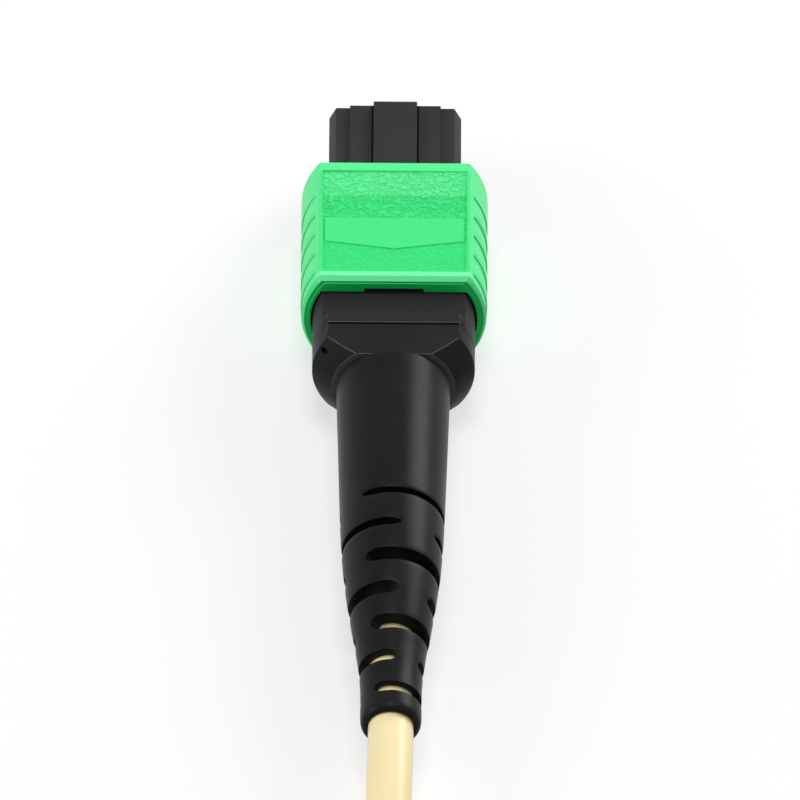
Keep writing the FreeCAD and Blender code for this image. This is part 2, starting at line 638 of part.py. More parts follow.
def make_fibre(index, colour):
    """Bare glass through the ferrule, then the coated fibre from ribbon to round bundle."""
    across = (index - ROW_HALF) * size("fibre_pitch")
    ring_across, ring_up = bundle_place(index)
    tip = size("-ferrule_reach + ferrule_height / 2 * tan(polish_angle)")
    bare = size("ferrule_rear - cavity_depth + 2 * seat_gap")
    lift = math.copysign(size("fibre_diameter / 2 + seat_gap"), ring_up)
    stops = [Vector(across, -size("clamp_rear + sheath_tail + seat_gap"), 0),
             Vector(across, -size("clamp_rear + sheath_tail + fibre_parting"), lift),
             Vector(ring_across, -size("flange_rear"), ring_up),
             Vector(ring_across, -size("fibre_rear"), ring_up)]
    behind = Vector(0, -1, 0)
    end = polygon(Vector(across, -tip, 0), size("glass_diameter / 2"), behind, GLASS_SIDES)
    glass = Part.Face(end).extrude(behind * (bare - tip))
    start = Vector(across, -bare, 0)
    path = Part.makePolygon([start] + stops)
    ring = polygon(start, size("fibre_diameter / 2"), behind, GLASS_SIDES)
    coat = path.makePipeShell([ring], True, False, 1)
    fibre = doc.addObject("Part::Feature", f"fibre_{colour}")
    fibre.Shape = glass.fuse(coat).removeSplitter()
    fibre.Label = f"fibre_{colour}"


# ---------------------------------------------------------------- springs
def polygon(centre, radius, along, sides):
    """Closed wire with a few sides, standing for the round section of a very thin piece."""
    first = along.cross(Vector(0, 0, 1)).normalize()
    second = along.cross(first).normalize()
    ring = []
    for side in range(sides + 1):
        angle = 2 * math.pi * side / sides
        ring.append(centre + first * radius * math.cos(angle) + second * radius * math.sin(angle))
    return Part.makePolygon(ring)


def make_spring(label, name, across, front):
    """Compression spring: a wire swept along a coil, round or drawn out sideways to an oval."""
    wire = size(f"{name}_wire / 2")
    half_width = size(f"{name}_width / 2") - wire
    half_height = size(f"{name}_height / 2") - wire
    inset = 1.2 * wire
    length = size(f"{name}_length") - 2 * inset
    count = int(size(f"{name}_turns")) * SPRING_STEPS
    points = []
    for step in range(count + 1):
        angle = 2 * math.pi * step / SPRING_STEPS
        points.append(Vector(half_width * math.cos(angle), -length * step / count,
                             half_height * math.sin(angle)))
    path = Part.makePolygon(points)
    ring = polygon(points[0], wire, points[1] - points[0], WIRE_SIDES)
    spring = doc.addObject("Part::Feature", label)
    spring.Shape = path.makePipeShell([ring], True, False, 1)
    spring.Label = label
    spring.Placement.Base = Vector(size(across), -size(front) - inset, 0)


# ---------------------------------------------------------------- spring push
def make_spring_push():
    body = new_body("spring_push")
    block = centred_loop("2 * arm_outside", "shoulder_height")
    pad(body, section(body, "seat_block", "spring_seat", block), "housing_length - spring_seat + join_depth")
    arms, barbs = [], []
    for sign in ("", "-"):
        arms.append(box_loop(f"{sign}(arm_outside - arm_thickness)", f"{sign}arm_outside",
                             "-arm_height / 2", "arm_height / 2"))
        barbs.append(box_loop(f"{sign}(arm_outside - arm_thickness / 2)",
                              f"{sign}(arm_outside + barb_reach)", "-barb_height / 2", "barb_height / 2"))
    pad(body, section(body, "arms", "arm_tip", *arms), "arm_length + join_depth")
    pad(body, section(body, "barbs", "barb_front", *barbs), "barb_length")
    soften(body, "Chamfer", "barb_ramp", "barb_reach * 0.8",
           lambda edge: lies_at(edge, size("barb_front")) and edge.BoundBox.XLength < NEAR
           and same(reach(edge)[0], "arm_outside + barb_reach"))
    turned(body, profile(body, "flange", [
        ("0", "housing_length + seat_gap"), ("body_radius", "housing_length + seat_gap"),
        ("body_radius", "flange_rear - cone_length"), ("cone_radius", "flange_rear"),
        ("0", "flange_rear")]))
    clear = "body_radius + cut_past"
    flats = [box_loop(f"-({clear})", clear, "collar_half", clear),
             box_loop(f"-({clear})", clear, f"-({clear})", "-collar_half")]
    pocket(body, section(body, "flats", "housing_length", *flats), "flange_length + cut_past")
    turned(body, profile(body, "barrel", [
        ("0", "flange_rear - join_depth"), ("barrel_radius", "flange_rear - join_depth"),
        ("barrel_radius", "barrel_rear"), ("0", "barrel_rear")]))
    middle = "flange_rear + barrel_ring_margin"
    rim = "barrel_radius + barrel_ring_depth"
    groove = turned(body, profile(body, "barrel_ring", [
        ("barrel_radius - barrel_ring_depth", middle), (rim, f"{middle} - barrel_ring_width / 2"),
        (rim, f"{middle} + barrel_ring_width / 2")]), "Groove")
    repeat(body, groove, "barrel_ring_row", "barrel_length - 2 * barrel_ring_margin", "barrel_rings")
    passage = section(body, "passage", "spring_seat")
    circle_loop(passage, "0", "0", "barrel_bore")
    pocket(body, passage, "barrel_rear - spring_seat")
    mark = new_sketch(body, "cone_mark", "XZ_Plane", "flange_rear - cone_length")
    circle_loop(mark, "-dimple_offset", "dimple_rise", "dimple_radius")
    pocket(body, mark, "cone_length")


# ---------------------------------------------------------------- crimp, yarn and held cable
def make_crimp_ring():
    body = new_body("crimp_ring")
    bore, tail = "yarn_radius + seat_gap", "cable_radius + seat_gap"
    turned(body, profile(body, "ring", [
        (bore, "crimp_front"), ("crimp_radius", "crimp_front"),
        ("crimp_radius", "barrel_rear + crimp_ease"),
        (f"{tail} + crimp_wall", "cable_front + crimp_ease"), (f"{tail} + crimp_wall", "crimp_rear"),
        (tail, "crimp_rear"), (tail, "cable_front - seat_gap"), (bore, "barrel_rear + crimp_ease / 2")]))


def make_aramid_yarn():
    body = new_body("aramid_yarn")
    outer = "cable_bore / 2 - seat_gap"
    inner = f"{outer} - 2 * seat_gap - yarn_thickness"
    base, tail = "barrel_radius + seat_gap", "boot_rear - cut_past"
    turned(body, profile(body, "yarn", [
        (base, "crimp_front"), ("yarn_radius", "crimp_front"), ("yarn_radius", "barrel_rear + 2 * seat_gap"),
        (outer, "cable_front - crimp_ease / 2"), (outer, tail), (inner, tail),
        (inner, "cable_front - 2 * crimp_ease"), (base, "barrel_rear + seat_gap")]))


def make_cable_jacket():
    body = new_body("cable_jacket")
    turned(body, profile(body, "jacket", [
        ("cable_bore / 2", "cable_front"), ("cable_radius", "cable_front"),
        ("cable_radius", "boot_rear"), ("cable_bore / 2", "boot_rear")]))


# ---------------------------------------------------------------- strain relief boot
def slot_tool(row, width, side):
    """One slot: a wedge of a disc that cuts the wall on one side, a quarter further in odd rows."""
    along = f"boot_front + slot_start + {row} * slot_pitch"
    turn = size("slot_turn + slot_angle / 2") - 90 * (row % 2) + 180 * side
    wedge = bind(doc.addObject("Part::Cylinder", f"slot_{row}_{side}"),
                 Radius="boot_radius + cut_past", Angle="slot_angle", Base_y=f"-({along} - {width} / 2)")
    wedge.Height = width
    wedge.Placement.Rotation = (FreeCAD.Rotation(Vector(0, 1, 0), turn - 90)
                                * FreeCAD.Rotation(Vector(1, 0, 0), 90))
    return wedge


def make_boot():
    body = new_body("boot_form")
    wide, slim = "crimp_radius + round_gap", "cable_radius + fit_gap"
    middle = "cable_radius + seat_gap + crimp_wall + round_gap"
    outside = [("boot_radius", "boot_front")]
    along = "boot_front"
    for name in ("taper", "shoulder", "waist", "ankle"):
        along += f" + boot_{name}_length"
        outside.append((f"boot_{name}_radius", along))
    outside += [("boot_tail_radius", "slim_front"), ("boot_tail_radius", "boot_rear - boot_end_bevel"),
                ("boot_tail_radius - boot_end_bevel", "boot_rear")]
    bore = [(slim, "boot_rear"), (slim, "crimp_rear + 2 * boot_ease"), (middle, "crimp_rear + boot_ease"),
            (middle, "cable_front + boot_ease"), (wide, "barrel_rear + boot_ease"), (wide, "boot_front")]
    turned(body, profile(body, "boot_outline", outside + bore))
    slots = doc.addObject("Part::MultiFuse", "boot_slots")
    slots.Shapes = [slot_tool(row, width, side) for row, width in enumerate(SLOT_WIDTHS) for side in (0, 1)]
    boot = doc.addObject("Part::Cut", "strain_relief_boot")
    boot.Base = body
    boot.Tool = slots
    boot.Label = "strain_relief_boot"


# ---------------------------------------------------------------- free cable
def route_points():
    """Route of the free cable from the boot to the hank's first turn, chosen by hand."""
    floor = size("cable_radius - rest_height")
    aside = -size("hank_offset")
    leaves = -size("boot_rear")
    return [Vector(0, leaves, 0), Vector(0, leaves - 7, 0), Vector(aside / 3, leaves - 15, floor),
            Vector(aside, leaves - 24, floor), Vector(aside, leaves - 34, floor)]


def make_cable_run():
    """Straight runs joined by arcs, each arc as large as its two runs allow."""
    points = route_points()
    edges = []
    last = points[0]
    for before, corner, after in zip(points, points[1:], points[2:]):
        arrive, leave = corner - before, after - corner
        setback = 0.45 * min(arrive.Length, leave.Length)
        radius = setback / math.tan(arrive.getAngle(leave) / 2)
        print(f"cable arc radius {radius:.1f} mm")
        start = corner - arrive.normalize() * setback
        finish = corner + leave.normalize() * setback
        inward = (leave - arrive).normalize()
        crown = corner + inward * (math.hypot(radius, setback) - radius)
        edges.append(Part.LineSegment(last, start).toShape())
        edges.append(Part.Arc(start, crown, finish).toShape())
        last = finish
    edges.append(Part.LineSegment(last, points[-1]).toShape())
    path = Part.Wire(edges)
    circle = Part.Circle(points[0], points[1] - points[0], size("cable_radius"))
    run = doc.addObject("Part::Feature", "cable_run")
    run.Shape = path.makePipeShell([Part.Wire([circle.toShape()])], True, True)
    run.Label = "cable_run"
    print(f"cable run {path.Length:.1f} mm long")


def racetrack(radius):
    """Closed loop of two straight runs and two folds, each fold of two quarter arcs."""
    left, right = f"hank_middle - {radius}", f"hank_middle + {radius}"
    return [(left, "-first_fold"), (left, "-second_fold", radius),
            ("hank_middle", f"-(second_fold + {radius})", radius), (right, "-second_fold"),
            (right, "-first_fold", radius), ("hank_middle", f"-(first_fold - {radius})", radius)]


def make_cable_hank():
    """The rest of the cable, folded into a hank, as one solid of the hank's outer shape."""
    body = new_body("cable_hank")
    sketch = new_sketch(body, "turns", "XY_Plane", "hank_bottom")
    outline(sketch, racetrack("hank_outside"))
    outline(sketch, racetrack("hank_inside"))
    pad(body, sketch, "hank_height")
    soften(body, "Chamfer", "turns_bevel", "hank_bevel", lambda edge: edge.BoundBox.ZLength < NEAR)


def make_hank_tie():
    """Closed strap round both runs of the hank, at its middle."""
    body = new_body("hank_tie")
    middle = "hank_bottom + hank_height / 2"
    sketch = new_sketch(body, "strap", "XZ_Plane", "first_fold + hank_straight / 2 - tie_width / 2")
    for grow in ("(seat_gap + tie_thickness)", "seat_gap"):
        half, rise = f"(hank_outside + {grow})", f"(hank_height / 2 + {grow})"
        outline(sketch, box_loop(f"hank_middle - {half}", f"hank_middle + {half}",
                                 f"{middle} - {rise}", f"{middle} + {rise}"))
    pad(body, sketch, "tie_width")
    for name, half, amount in (("inner", "hank_outside + seat_gap", "tie_rounding"),
                               ("outer", "hank_outside + seat_gap + tie_thickness",
                                "tie_rounding + tie_thickness")):
        sides = size(f"hank_middle - ({half})"), size(f"hank_middle + {half}")
        soften(body, "Fillet", f"{name}_corners", amount,
               lambda edge: runs_along(edge) and min(abs(edge.BoundBox.XMin - side) for side in sides) < NEAR)


# ---------------------------------------------------------------- build, check, write
def build():
    make_inner_housing()
    make_coupling()
    offset = "channel_floor + fit_gap + sleeve_spring_width / 2"
    make_spring("coupling_spring_left", "sleeve_spring", f"-({offset})", "tab_rear + seat_gap")
    make_spring("coupling_spring_right", "sleeve_spring", offset, "tab_rear + seat_gap")
    make_ferrule()
    make_ferrule_boot()
    make_pin_clamp()
    make_spring("ferrule_spring", "main_spring", "0", "clamp_rear + seat_gap")
    make_spring_push()
    make_crimp_ring()
    make_aramid_yarn()
    make_cable_jacket()
    make_boot()
    for index, colour in enumerate(FIBRE_COLOURS):
        make_fibre(index, colour)
    make_cable_run()
    make_cable_hank()
    make_hank_tie()
    doc.recompute()


PARTS = ["inner_housing", "coupling", "coupling_spring_left", "coupling_spring_right", "ferrule",
         "ferrule_boot", "pin_clamp", "ferrule_spring", "spring_push", "crimp_ring", "aramid_yarn",
         "cable_jacket", "strain_relief_boot", "cable_run", "cable_hank", "hank_tie"]
PARTS += [f"fibre_{colour}" for colour in FIBRE_COLOURS]


def check():
    """Stop if any object failed or any sub-part's shape isn't whole."""
    for thing in doc.Objects:
        if "Invalid" in thing.State or "Error" in thing.State:
            raise RuntimeError(f"{thing.Label}: {thing.State}")
    for label in PARTS:
        shape = doc.getObjectsByLabel(label)[0].Shape
        if shape.isNull() or not shape.isValid() or not shape.Solids:
            raise RuntimeError(f"{label}: its shape isn't valid")


def write():
    os.makedirs("parts", exist_ok=True)
    for label in PARTS:
        shape = doc.getObjectsByLabel(label)[0].Shape
        shape.exportStep(os.path.join("parts", f"{label}.step"))
        box = shape.BoundBox
        print(f"{label}: {len(shape.Solids)} solid, {shape.Volume:.3f} mm3,"
              f" X {box.XMin:.2f}..{box.XMax:.2f} Y {box.YMin:.2f}..{box.YMax:.2f}"
              f" Z {box.ZMin:.2f}..{box.ZMax:.2f}")


build()
check()
write()
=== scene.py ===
# %% [markdown]
# # A multi-fibre push-on connector on a round pigtail cable
#
# The imported model gives every piece its exact place: a black plug with a key on its top, a green
# sleeve that slides on it, a ferrule with twelve fibres inside, a crimp, a slotted boot and the
# cable. This script keeps those pieces where they are and gives them their looks. What the CAD
# solids leave plain (their edges, the springs' wire, the boot's slots and the folded cable) is
# modelled again here, and each new piece takes the place of the solid it stands for, which is
# hidden.

# %% Load the imported frame
import json
import math

import bpy
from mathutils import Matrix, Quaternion, Vector

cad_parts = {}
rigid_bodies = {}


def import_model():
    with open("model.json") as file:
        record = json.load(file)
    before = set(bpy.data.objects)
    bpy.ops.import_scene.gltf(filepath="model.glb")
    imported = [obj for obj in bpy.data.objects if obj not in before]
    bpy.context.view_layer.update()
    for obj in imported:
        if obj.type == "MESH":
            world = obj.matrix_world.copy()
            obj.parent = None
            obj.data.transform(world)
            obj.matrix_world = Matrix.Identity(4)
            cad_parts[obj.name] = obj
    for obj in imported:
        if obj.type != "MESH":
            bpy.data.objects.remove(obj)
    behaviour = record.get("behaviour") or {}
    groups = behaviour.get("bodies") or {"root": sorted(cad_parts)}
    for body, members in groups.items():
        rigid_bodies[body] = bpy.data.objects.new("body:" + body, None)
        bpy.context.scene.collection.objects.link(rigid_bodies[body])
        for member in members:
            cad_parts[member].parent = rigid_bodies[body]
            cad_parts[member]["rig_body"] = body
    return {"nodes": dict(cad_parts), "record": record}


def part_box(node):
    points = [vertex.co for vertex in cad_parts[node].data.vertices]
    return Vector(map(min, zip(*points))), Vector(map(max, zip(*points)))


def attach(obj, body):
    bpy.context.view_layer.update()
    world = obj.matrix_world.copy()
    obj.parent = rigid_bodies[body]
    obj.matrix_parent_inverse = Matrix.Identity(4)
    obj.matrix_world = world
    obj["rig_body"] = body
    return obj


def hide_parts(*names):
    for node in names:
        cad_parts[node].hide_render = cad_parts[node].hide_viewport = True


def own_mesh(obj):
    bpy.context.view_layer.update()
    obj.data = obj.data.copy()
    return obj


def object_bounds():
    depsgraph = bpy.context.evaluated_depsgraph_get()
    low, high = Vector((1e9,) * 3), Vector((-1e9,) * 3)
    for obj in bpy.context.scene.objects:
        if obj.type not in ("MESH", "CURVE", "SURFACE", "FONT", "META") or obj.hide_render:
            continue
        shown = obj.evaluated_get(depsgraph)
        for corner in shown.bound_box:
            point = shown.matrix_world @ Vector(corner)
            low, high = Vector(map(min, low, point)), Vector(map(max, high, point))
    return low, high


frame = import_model()
cad_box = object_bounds()
MM = 0.001
print("CAD box in mm:", [[round(c / MM, 2) for c in corner] for corner in cad_box])

# %% [markdown]
# ## Where things are
#
# The origin is the middle of the plug's nose, +Y is the way it is pushed in and +Z is the key's
# side, so everything behind the nose has a negative Y. A few places are read from the boxes of
# the CAD nodes, so that the new pieces follow them.

# %% Places read from the frame
FLOOR = cad_box[0][2]
boot_low, boot_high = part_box("strain_relief_boot")
BOOT_FRONT, BOOT_REAR = boot_high[1], boot_low[1]
print("floor", round(FLOOR / MM, 2), "boot", round(BOOT_FRONT / MM, 2), round(BOOT_REAR / MM, 2))

# %% [markdown]
# ## The camera
#
# The connector is seen from behind and above, nose away from us. A very long lens keeps its
# sides parallel, as in a catalogue picture. The camera is aimed at a point of the axis, and
# rolled by a fraction of a degree, because the connector doesn't lie quite square.

# %% Camera
ELEVATION = math.radians(46.5)
ROLL = math.radians(0.42)
SHOWN_WIDTH = 52.98 * MM
aim = Vector((0.45, -24.62, 0)) * MM
camera_data = bpy.data.cameras.new("camera")
camera_data.lens = 1500
camera_data.sensor_width = 36
distance = SHOWN_WIDTH * camera_data.lens / camera_data.sensor_width
back = Vector((0, -math.cos(ELEVATION), math.sin(ELEVATION)))
camera = bpy.data.objects.new("camera", camera_data)
camera.rotation_mode = "QUATERNION"
camera.rotation_quaternion = (-back).to_track_quat("-Z", "Y") @ Quaternion((0, 0, 1), ROLL)
camera.location = aim + back * distance
camera_data.clip_start = distance / 10
camera_data.clip_end = distance * 20
bpy.context.scene.collection.objects.link(camera)
bpy.context.scene.camera = camera
bpy.context.scene.view_settings.view_transform = "Standard"
print("camera", round(distance, 3), "m away")

# %% [markdown]
# ## The cable
#
# The pigtail is a metre of round 3 mm cable. It leaves the boot level, sinks to the floor and runs
# back to a hank, which a strap holds. It is one smooth spline: a handful of points for the run,
# then twenty to a turn of the hank. The hank is laid as by hand: two turns on the floor, from
# the outside in, two on them from the inside out, and so on up. A turn changes its lane only
# where the turn that lay there before it has already moved on.

# %% Cable route
CABLE_WIDTH = 3 * MM
RUN = [(0, -54.30, 0), (0, -61.30, 0), (-0.9, -69.30, -2.35), (-2.7, -78.30, -2.35)]
HANK_ACROSS, FIRST_FOLD, SECOND_FOLD = 9.5, 85.7, 120.7
STRAP_LIFT = 0.32
LANES = [(12.2, 0), (9.2, 0), (9.2, 1), (12.2, 1), (12.2, 2), (9.2, 2), (9.2, 3), (12.2, 3)]
CHANGES = [16, 34, 52, 70, 88, 106, 124]
CHANGE_POINTS = 4
TURN_POINTS, HALF_TURN = 20, 10
STRAIGHT_STEPS = (4, 13, 22, 31)
FOLD_STEPS = (15, 45, 75, 105, 135, 165)
HANK_POINTS = 143


def lane_at(count):
    """Distance from the hank's middle, in mm, and layer of the cable's point with this number."""
    radius, layer = LANES[0]
    for change, before, after in zip(CHANGES, LANES, LANES[1:]):
        moved = min(max((count - change + 1) / CHANGE_POINTS, 0), 1)
        radius += (after[0] - before[0]) * moved
        layer += (after[1] - before[1]) * moved
    return radius, layer


def hank_point(count):
    """One control point of the hank: four on each straight run, and six on each fold."""
    radius, layer = lane_at(count)
    outward = count % TURN_POINTS < HALF_TURN
    place = count % HALF_TURN
    height = FLOOR / MM + CABLE_WIDTH / MM * (layer + 0.5)
    if place < len(STRAIGHT_STEPS):
        along = STRAIGHT_STEPS[place]
        lift = STRAP_LIFT if place in (1, 2) else STRAP_LIFT / 3
        if outward:
            return HANK_ACROSS - radius, -(FIRST_FOLD + along), height + lift
        return HANK_ACROSS + radius, -(SECOND_FOLD - along), height + lift
    turned = math.radians(FOLD_STEPS[place - len(STRAIGHT_STEPS)])
    out = radius / math.cos(math.radians(FOLD_STEPS[0]))
    across, along = out * math.cos(turned), out * math.sin(turned)
    if outward:
        return HANK_ACROSS - across, -(SECOND_FOLD + along), height
    return HANK_ACROSS + across, -(FIRST_FOLD - along), height


route = [tuple(c * MM for c in point) for point in RUN]
route += [tuple(c * MM for c in hank_point(count)) for count in range(HANK_POINTS)]
print("cable route of", len(route), "points")

# %% Cable curve
def round_curve(places, width, steps, sides):
    """A smooth curve drawn by these control points, with a round section and closed ends."""
    bpy.ops.object.select_all(action="DESELECT")
    bpy.ops.curve.primitive_nurbs_path_add(location=(0, 0, 0))
    path = bpy.context.object
    path.data.splines.clear()
    line = path.data.splines.new("NURBS")
    line.points.add(len(places) - 1)
    for point, place in zip(line.points, places):
        point.co = (*place, 1)
    line.order_u = 3
    line.use_endpoint_u = True
    line.resolution_u = steps
    path.data.dimensions = "3D"
    path.data.bevel_depth = width / 2
    path.data.bevel_resolution = sides
    path.data.use_fill_caps = True
    return path


cable = round_curve(route, CABLE_WIDTH, steps=5, sides=5)
cable.name = "cable"
print("cable curve of", len(cable.data.splines[0].points), "control points")

# %% [markdown]
# ## Helpers for modelling
#
# Blender's operators act on whatever is selected, so each piece starts by clearing the selection,
# and faces, edges or corners are then picked by their place. The `pick` helpers leave the piece
# in edit mode, with only what they picked selected.

# %% Modelling helpers
def clear_selection():
    """Leave edit mode and select nothing."""
    if bpy.context.object and bpy.context.object.mode != "OBJECT":
        bpy.ops.object.mode_set(mode="OBJECT")
    bpy.ops.object.select_all(action="DESELECT")


def activate(thing):
    """Make this the one selected object."""
    clear_selection()
    thing.select_set(True)
    bpy.context.view_layer.objects.active = thing


def pick_faces(thing, wanted):
    """Select the faces whose middle and normal suit the rule, in edit mode."""
    bpy.ops.object.mode_set(mode="EDIT")
    bpy.ops.mesh.select_mode(type="FACE")
    bpy.ops.mesh.select_all(action="DESELECT")
    bpy.ops.object.mode_set(mode="OBJECT")
    found = 0
    for face in thing.data.polygons:
        face.select = wanted(face.center, face.normal)
        found += face.select
    bpy.ops.object.mode_set(mode="EDIT")
    return found


def pick_edges(thing, wanted):
    """Select the edges whose two ends suit the rule, in edit mode."""
    bpy.ops.object.mode_set(mode="EDIT")
    bpy.ops.mesh.select_mode(type="EDGE")
    bpy.ops.mesh.select_all(action="DESELECT")
    bpy.ops.object.mode_set(mode="OBJECT")
    corners = thing.data.vertices
    found = 0
    for edge in thing.data.edges:
        edge.select = wanted(corners[edge.vertices[0]].co, corners[edge.vertices[1]].co)
        found += edge.select
    bpy.ops.object.mode_set(mode="EDIT")
    return found


def pick_points(thing, wanted):
    """Select only the corners with these numbers, in edit mode."""
    bpy.ops.object.mode_set(mode="EDIT")
    bpy.ops.mesh.select_all(action="DESELECT")
    bpy.ops.object.mode_set(mode="OBJECT")
    for index in wanted:
        thing.data.vertices[index].select = True
    bpy.ops.object.mode_set(mode="EDIT")


def settle(thing, name):
    """Put an object's place into its mesh, and name it."""
    activate(thing)
    bpy.ops.object.transform_apply(location=True, rotation=True, scale=True)
    thing.name = name
    thing.data.name = name
    return thing


def finish_modifier(thing, kind, **settings):
    """Add a modifier, set it and apply it."""
    activate(thing)
    modifier = thing.modifiers.new(kind.lower(), kind)
    for key, value in settings.items():
        setattr(modifier, key, value)
    bpy.ops.object.modifier_apply(modifier=modifier.name)


def faces_of(thing):
    """How many faces a piece has, for the printed notes."""
    return len(thing.data.polygons)


# %% [markdown]
# ## The strain relief boot
#
# The boot is a soft moulded sleeve that keeps the cable from being bent sharply behind the
# crimp. Its tail has seven rows of cross slots, each row turned a quarter from the last, so that
# it bends easily both ways. A boolean cut would leave hard edges, so the wall is drawn instead
# as a ring that is extruded from station to station, out along the outside and back along the
# bore. Each slot is a bridge from an outside patch of faces to the patch below it. The short
# edges at a slot's ends are drawn in, and a subdivision surface then rounds the ends as the
# mould does.

# %% Boot sizes
SLOT_ROWS = 7
SLOT_FIRST = 12.35
SLOT_PITCH = 2.73
SLOT_WIDTHS = (0.5, 0.6, 1.0, 0.97, 1.08, 0.84, 0.8)
SLOT_HALF_ANGLE = 67.5
SLOT_TURN = 33
RING_SIDES = 40
RING_TURN = 1.5
OUTSIDE = [(0, 3.8), (12.8, 3.46), (15.4, 3.34), (17.6, 3.18), (20, 2.91), (22, 2.64),
           (23.6, 2.41), (25, 2.22), (27.2, 2.03), (30.7, 2.03)]
BORE = [(0, 3.11), (7.58, 3.11), (8.78, 2.03), (11.78, 2.03), (12.08, 1.58), (30.7, 1.58)]
FRONT_OUTSIDE, FRONT_INSIDE = [(0, 3.72), (0.08, 3.79)], [(0, 3.15)]
TAIL_ROUNDING = [(30.28, 2.03), (30.58, 1.91), (30.7, 1.74), (30.7, 1.6), (30.62, 1.58)]


def read_off(profile, along):
    """The radius of a profile at a distance behind the boot's front, in mm."""
    for (near, first), (far, second) in zip(profile, profile[1:]):
        if along <= far:
            return first + (second - first) * (along - near) / (far - near)
    return profile[-1][1]


slot_edges = []
for row, width in enumerate(SLOT_WIDTHS):
    middle = SLOT_FIRST + row * SLOT_PITCH
    slot_edges.append((middle - width / 2, middle + width / 2))
between = [(a[1] + b[0]) / 2 for a, b in zip(slot_edges, slot_edges[1:])]
slotted = sorted([edge for pair in slot_edges for edge in pair] + between)
print("slot rows from", round(slotted[0], 2), "to", round(slotted[-1], 2), "mm behind the front")

# %% Boot wall, ring by ring
outer_stations = [0.35, 1.2, 4, 7, 9.5, 11.4] + slotted + [29.6]
bore_stations = slotted[::-1] + [12.08, 11.78, 8.78, 7.58, 0.3]
stations = FRONT_OUTSIDE + [(along, read_off(OUTSIDE, along)) for along in outer_stations]
stations += TAIL_ROUNDING
stations += [(along, read_off(BORE, along)) for along in bore_stations] + FRONT_INSIDE
clear_selection()
bpy.ops.mesh.primitive_circle_add(
    vertices=RING_SIDES, radius=stations[0][1] * MM, location=(0, BOOT_FRONT, 0),
    rotation=(math.radians(90), 0, 0), enter_editmode=False)
boot = settle(bpy.context.object, "boot")
bpy.ops.object.mode_set(mode="EDIT")
bpy.ops.mesh.select_all(action="SELECT")
bpy.ops.transform.rotate(value=math.radians(-RING_TURN), orient_axis="Y", orient_type="GLOBAL",
                         center_override=(0, BOOT_FRONT, 0))
for (was, radius), (now, next_radius) in zip(stations, stations[1:]):
    bpy.ops.mesh.extrude_edges_move(TRANSFORM_OT_translate={"value": (0, (was - now) * MM, 0)})
    grown = next_radius / radius
    bpy.ops.transform.resize(value=(grown, 1, grown), center_override=(0, BOOT_FRONT - now * MM, 0))
bpy.ops.object.mode_set(mode="OBJECT")
print("boot wall", faces_of(boot), "faces")

# %% Close the boot's front
NEAR, SEAM = 0.01 * MM, 0.001 * MM


def from_axis(point):
    """Distance of a point from the connector's axis."""
    return math.hypot(point.x, point.z)


def on_front_rim(a, b):
    """True for the edges of the two open rings at the boot's front."""
    level = all(abs(point.y - BOOT_FRONT) < NEAR for point in (a, b))
    return level and abs(from_axis(a) - from_axis(b)) < NEAR


rim = pick_edges(boot, on_front_rim)
bpy.ops.mesh.bridge_edge_loops()
bpy.ops.mesh.select_all(action="SELECT")
bpy.ops.mesh.remove_doubles(threshold=SEAM)
bpy.ops.mesh.normals_make_consistent(inside=False)
bpy.ops.object.mode_set(mode="OBJECT")
print("front rim edges", rim, "boot faces", faces_of(boot))

# %% Slots
def from_top(point):
    """Degrees round the axis from straight up, positive towards +X."""
    return math.degrees(math.atan2(point.x, point.z))


def in_slot(point, row, side):
    """True if a face's middle is in this slot's patch, outside or inside the wall."""
    near, far = slot_edges[row]
    along = (BOOT_FRONT - point.y) / MM
    middle = SLOT_TURN - 90 * (row % 2) + 180 * side
    away = abs((from_top(point) - middle + 180) % 360 - 180)
    return near < along < far and away < SLOT_HALF_ANGLE


opened = 0
for row in range(SLOT_ROWS):
    for side in (0, 1):
        opened += pick_faces(boot, lambda centre, normal: in_slot(centre, row, side))
        bpy.ops.mesh.bridge_edge_loops()
bpy.ops.object.mode_set(mode="OBJECT")
print("faces opened for slots", opened)

# %% Rounded slot ends
SLOT_END_SHARE = 0.3
SAME_PLACE, SAME_TURN = 0.02, 1


def at_slot_end(point, row):
    """True for a corner of this row's slots, by its angle and its distance behind the front."""
    along = (BOOT_FRONT - point.y) / MM
    middle = SLOT_TURN - 90 * (row % 2)
    away = abs((from_top(point) - middle + 90) % 180 - 90)
    on_rim = min(abs(along - edge) for edge in slot_edges[row]) < SAME_PLACE
    return on_rim and abs(away - SLOT_HALF_ANGLE) < SAME_TURN


ends = 0
for row, (near, far) in enumerate(slot_edges):
    ends += pick_edges(boot, lambda a, b: (
        at_slot_end(a, row) and at_slot_end(b, row)
        and abs(a.y - b.y) > (far - near) * MM / 2
        and abs(from_top(a) - from_top(b)) < SAME_TURN))
    bpy.ops.transform.resize(value=(1, SLOT_END_SHARE, 1),
                             center_override=(0, BOOT_FRONT - (near + far) / 2 * MM, 0))
bpy.ops.object.mode_set(mode="OBJECT")
print("slot end edges drawn in:", ends)

# %% Keep the slots' rims crisp, and round the boot
RIM_ANGLE, SMOOTH_ANGLE = math.radians(50), math.radians(40)
RIM_CREASE = 0.9
ACROSS_WALL = 0.3 * MM
activate(boot)
bpy.ops.object.mode_set(mode="EDIT")
bpy.ops.mesh.select_mode(type="EDGE")
bpy.ops.mesh.select_all(action="DESELECT")
bpy.ops.mesh.edges_select_sharp(sharpness=RIM_ANGLE)
bpy.ops.object.mode_set(mode="OBJECT")
for edge in boot.data.edges:
    one, other = (from_axis(boot.data.vertices[index].co) for index in edge.vertices)
    if abs(one - other) > ACROSS_WALL:
        edge.select = False
bpy.ops.object.mode_set(mode="EDIT")
bpy.ops.transform.edge_crease(value=RIM_CREASE)
bpy.ops.object.mode_set(mode="OBJECT")
finish_modifier(boot, "SUBSURF", levels=2, render_levels=2)
bpy.ops.object.shade_smooth_by_angle(angle=SMOOTH_ANGLE)
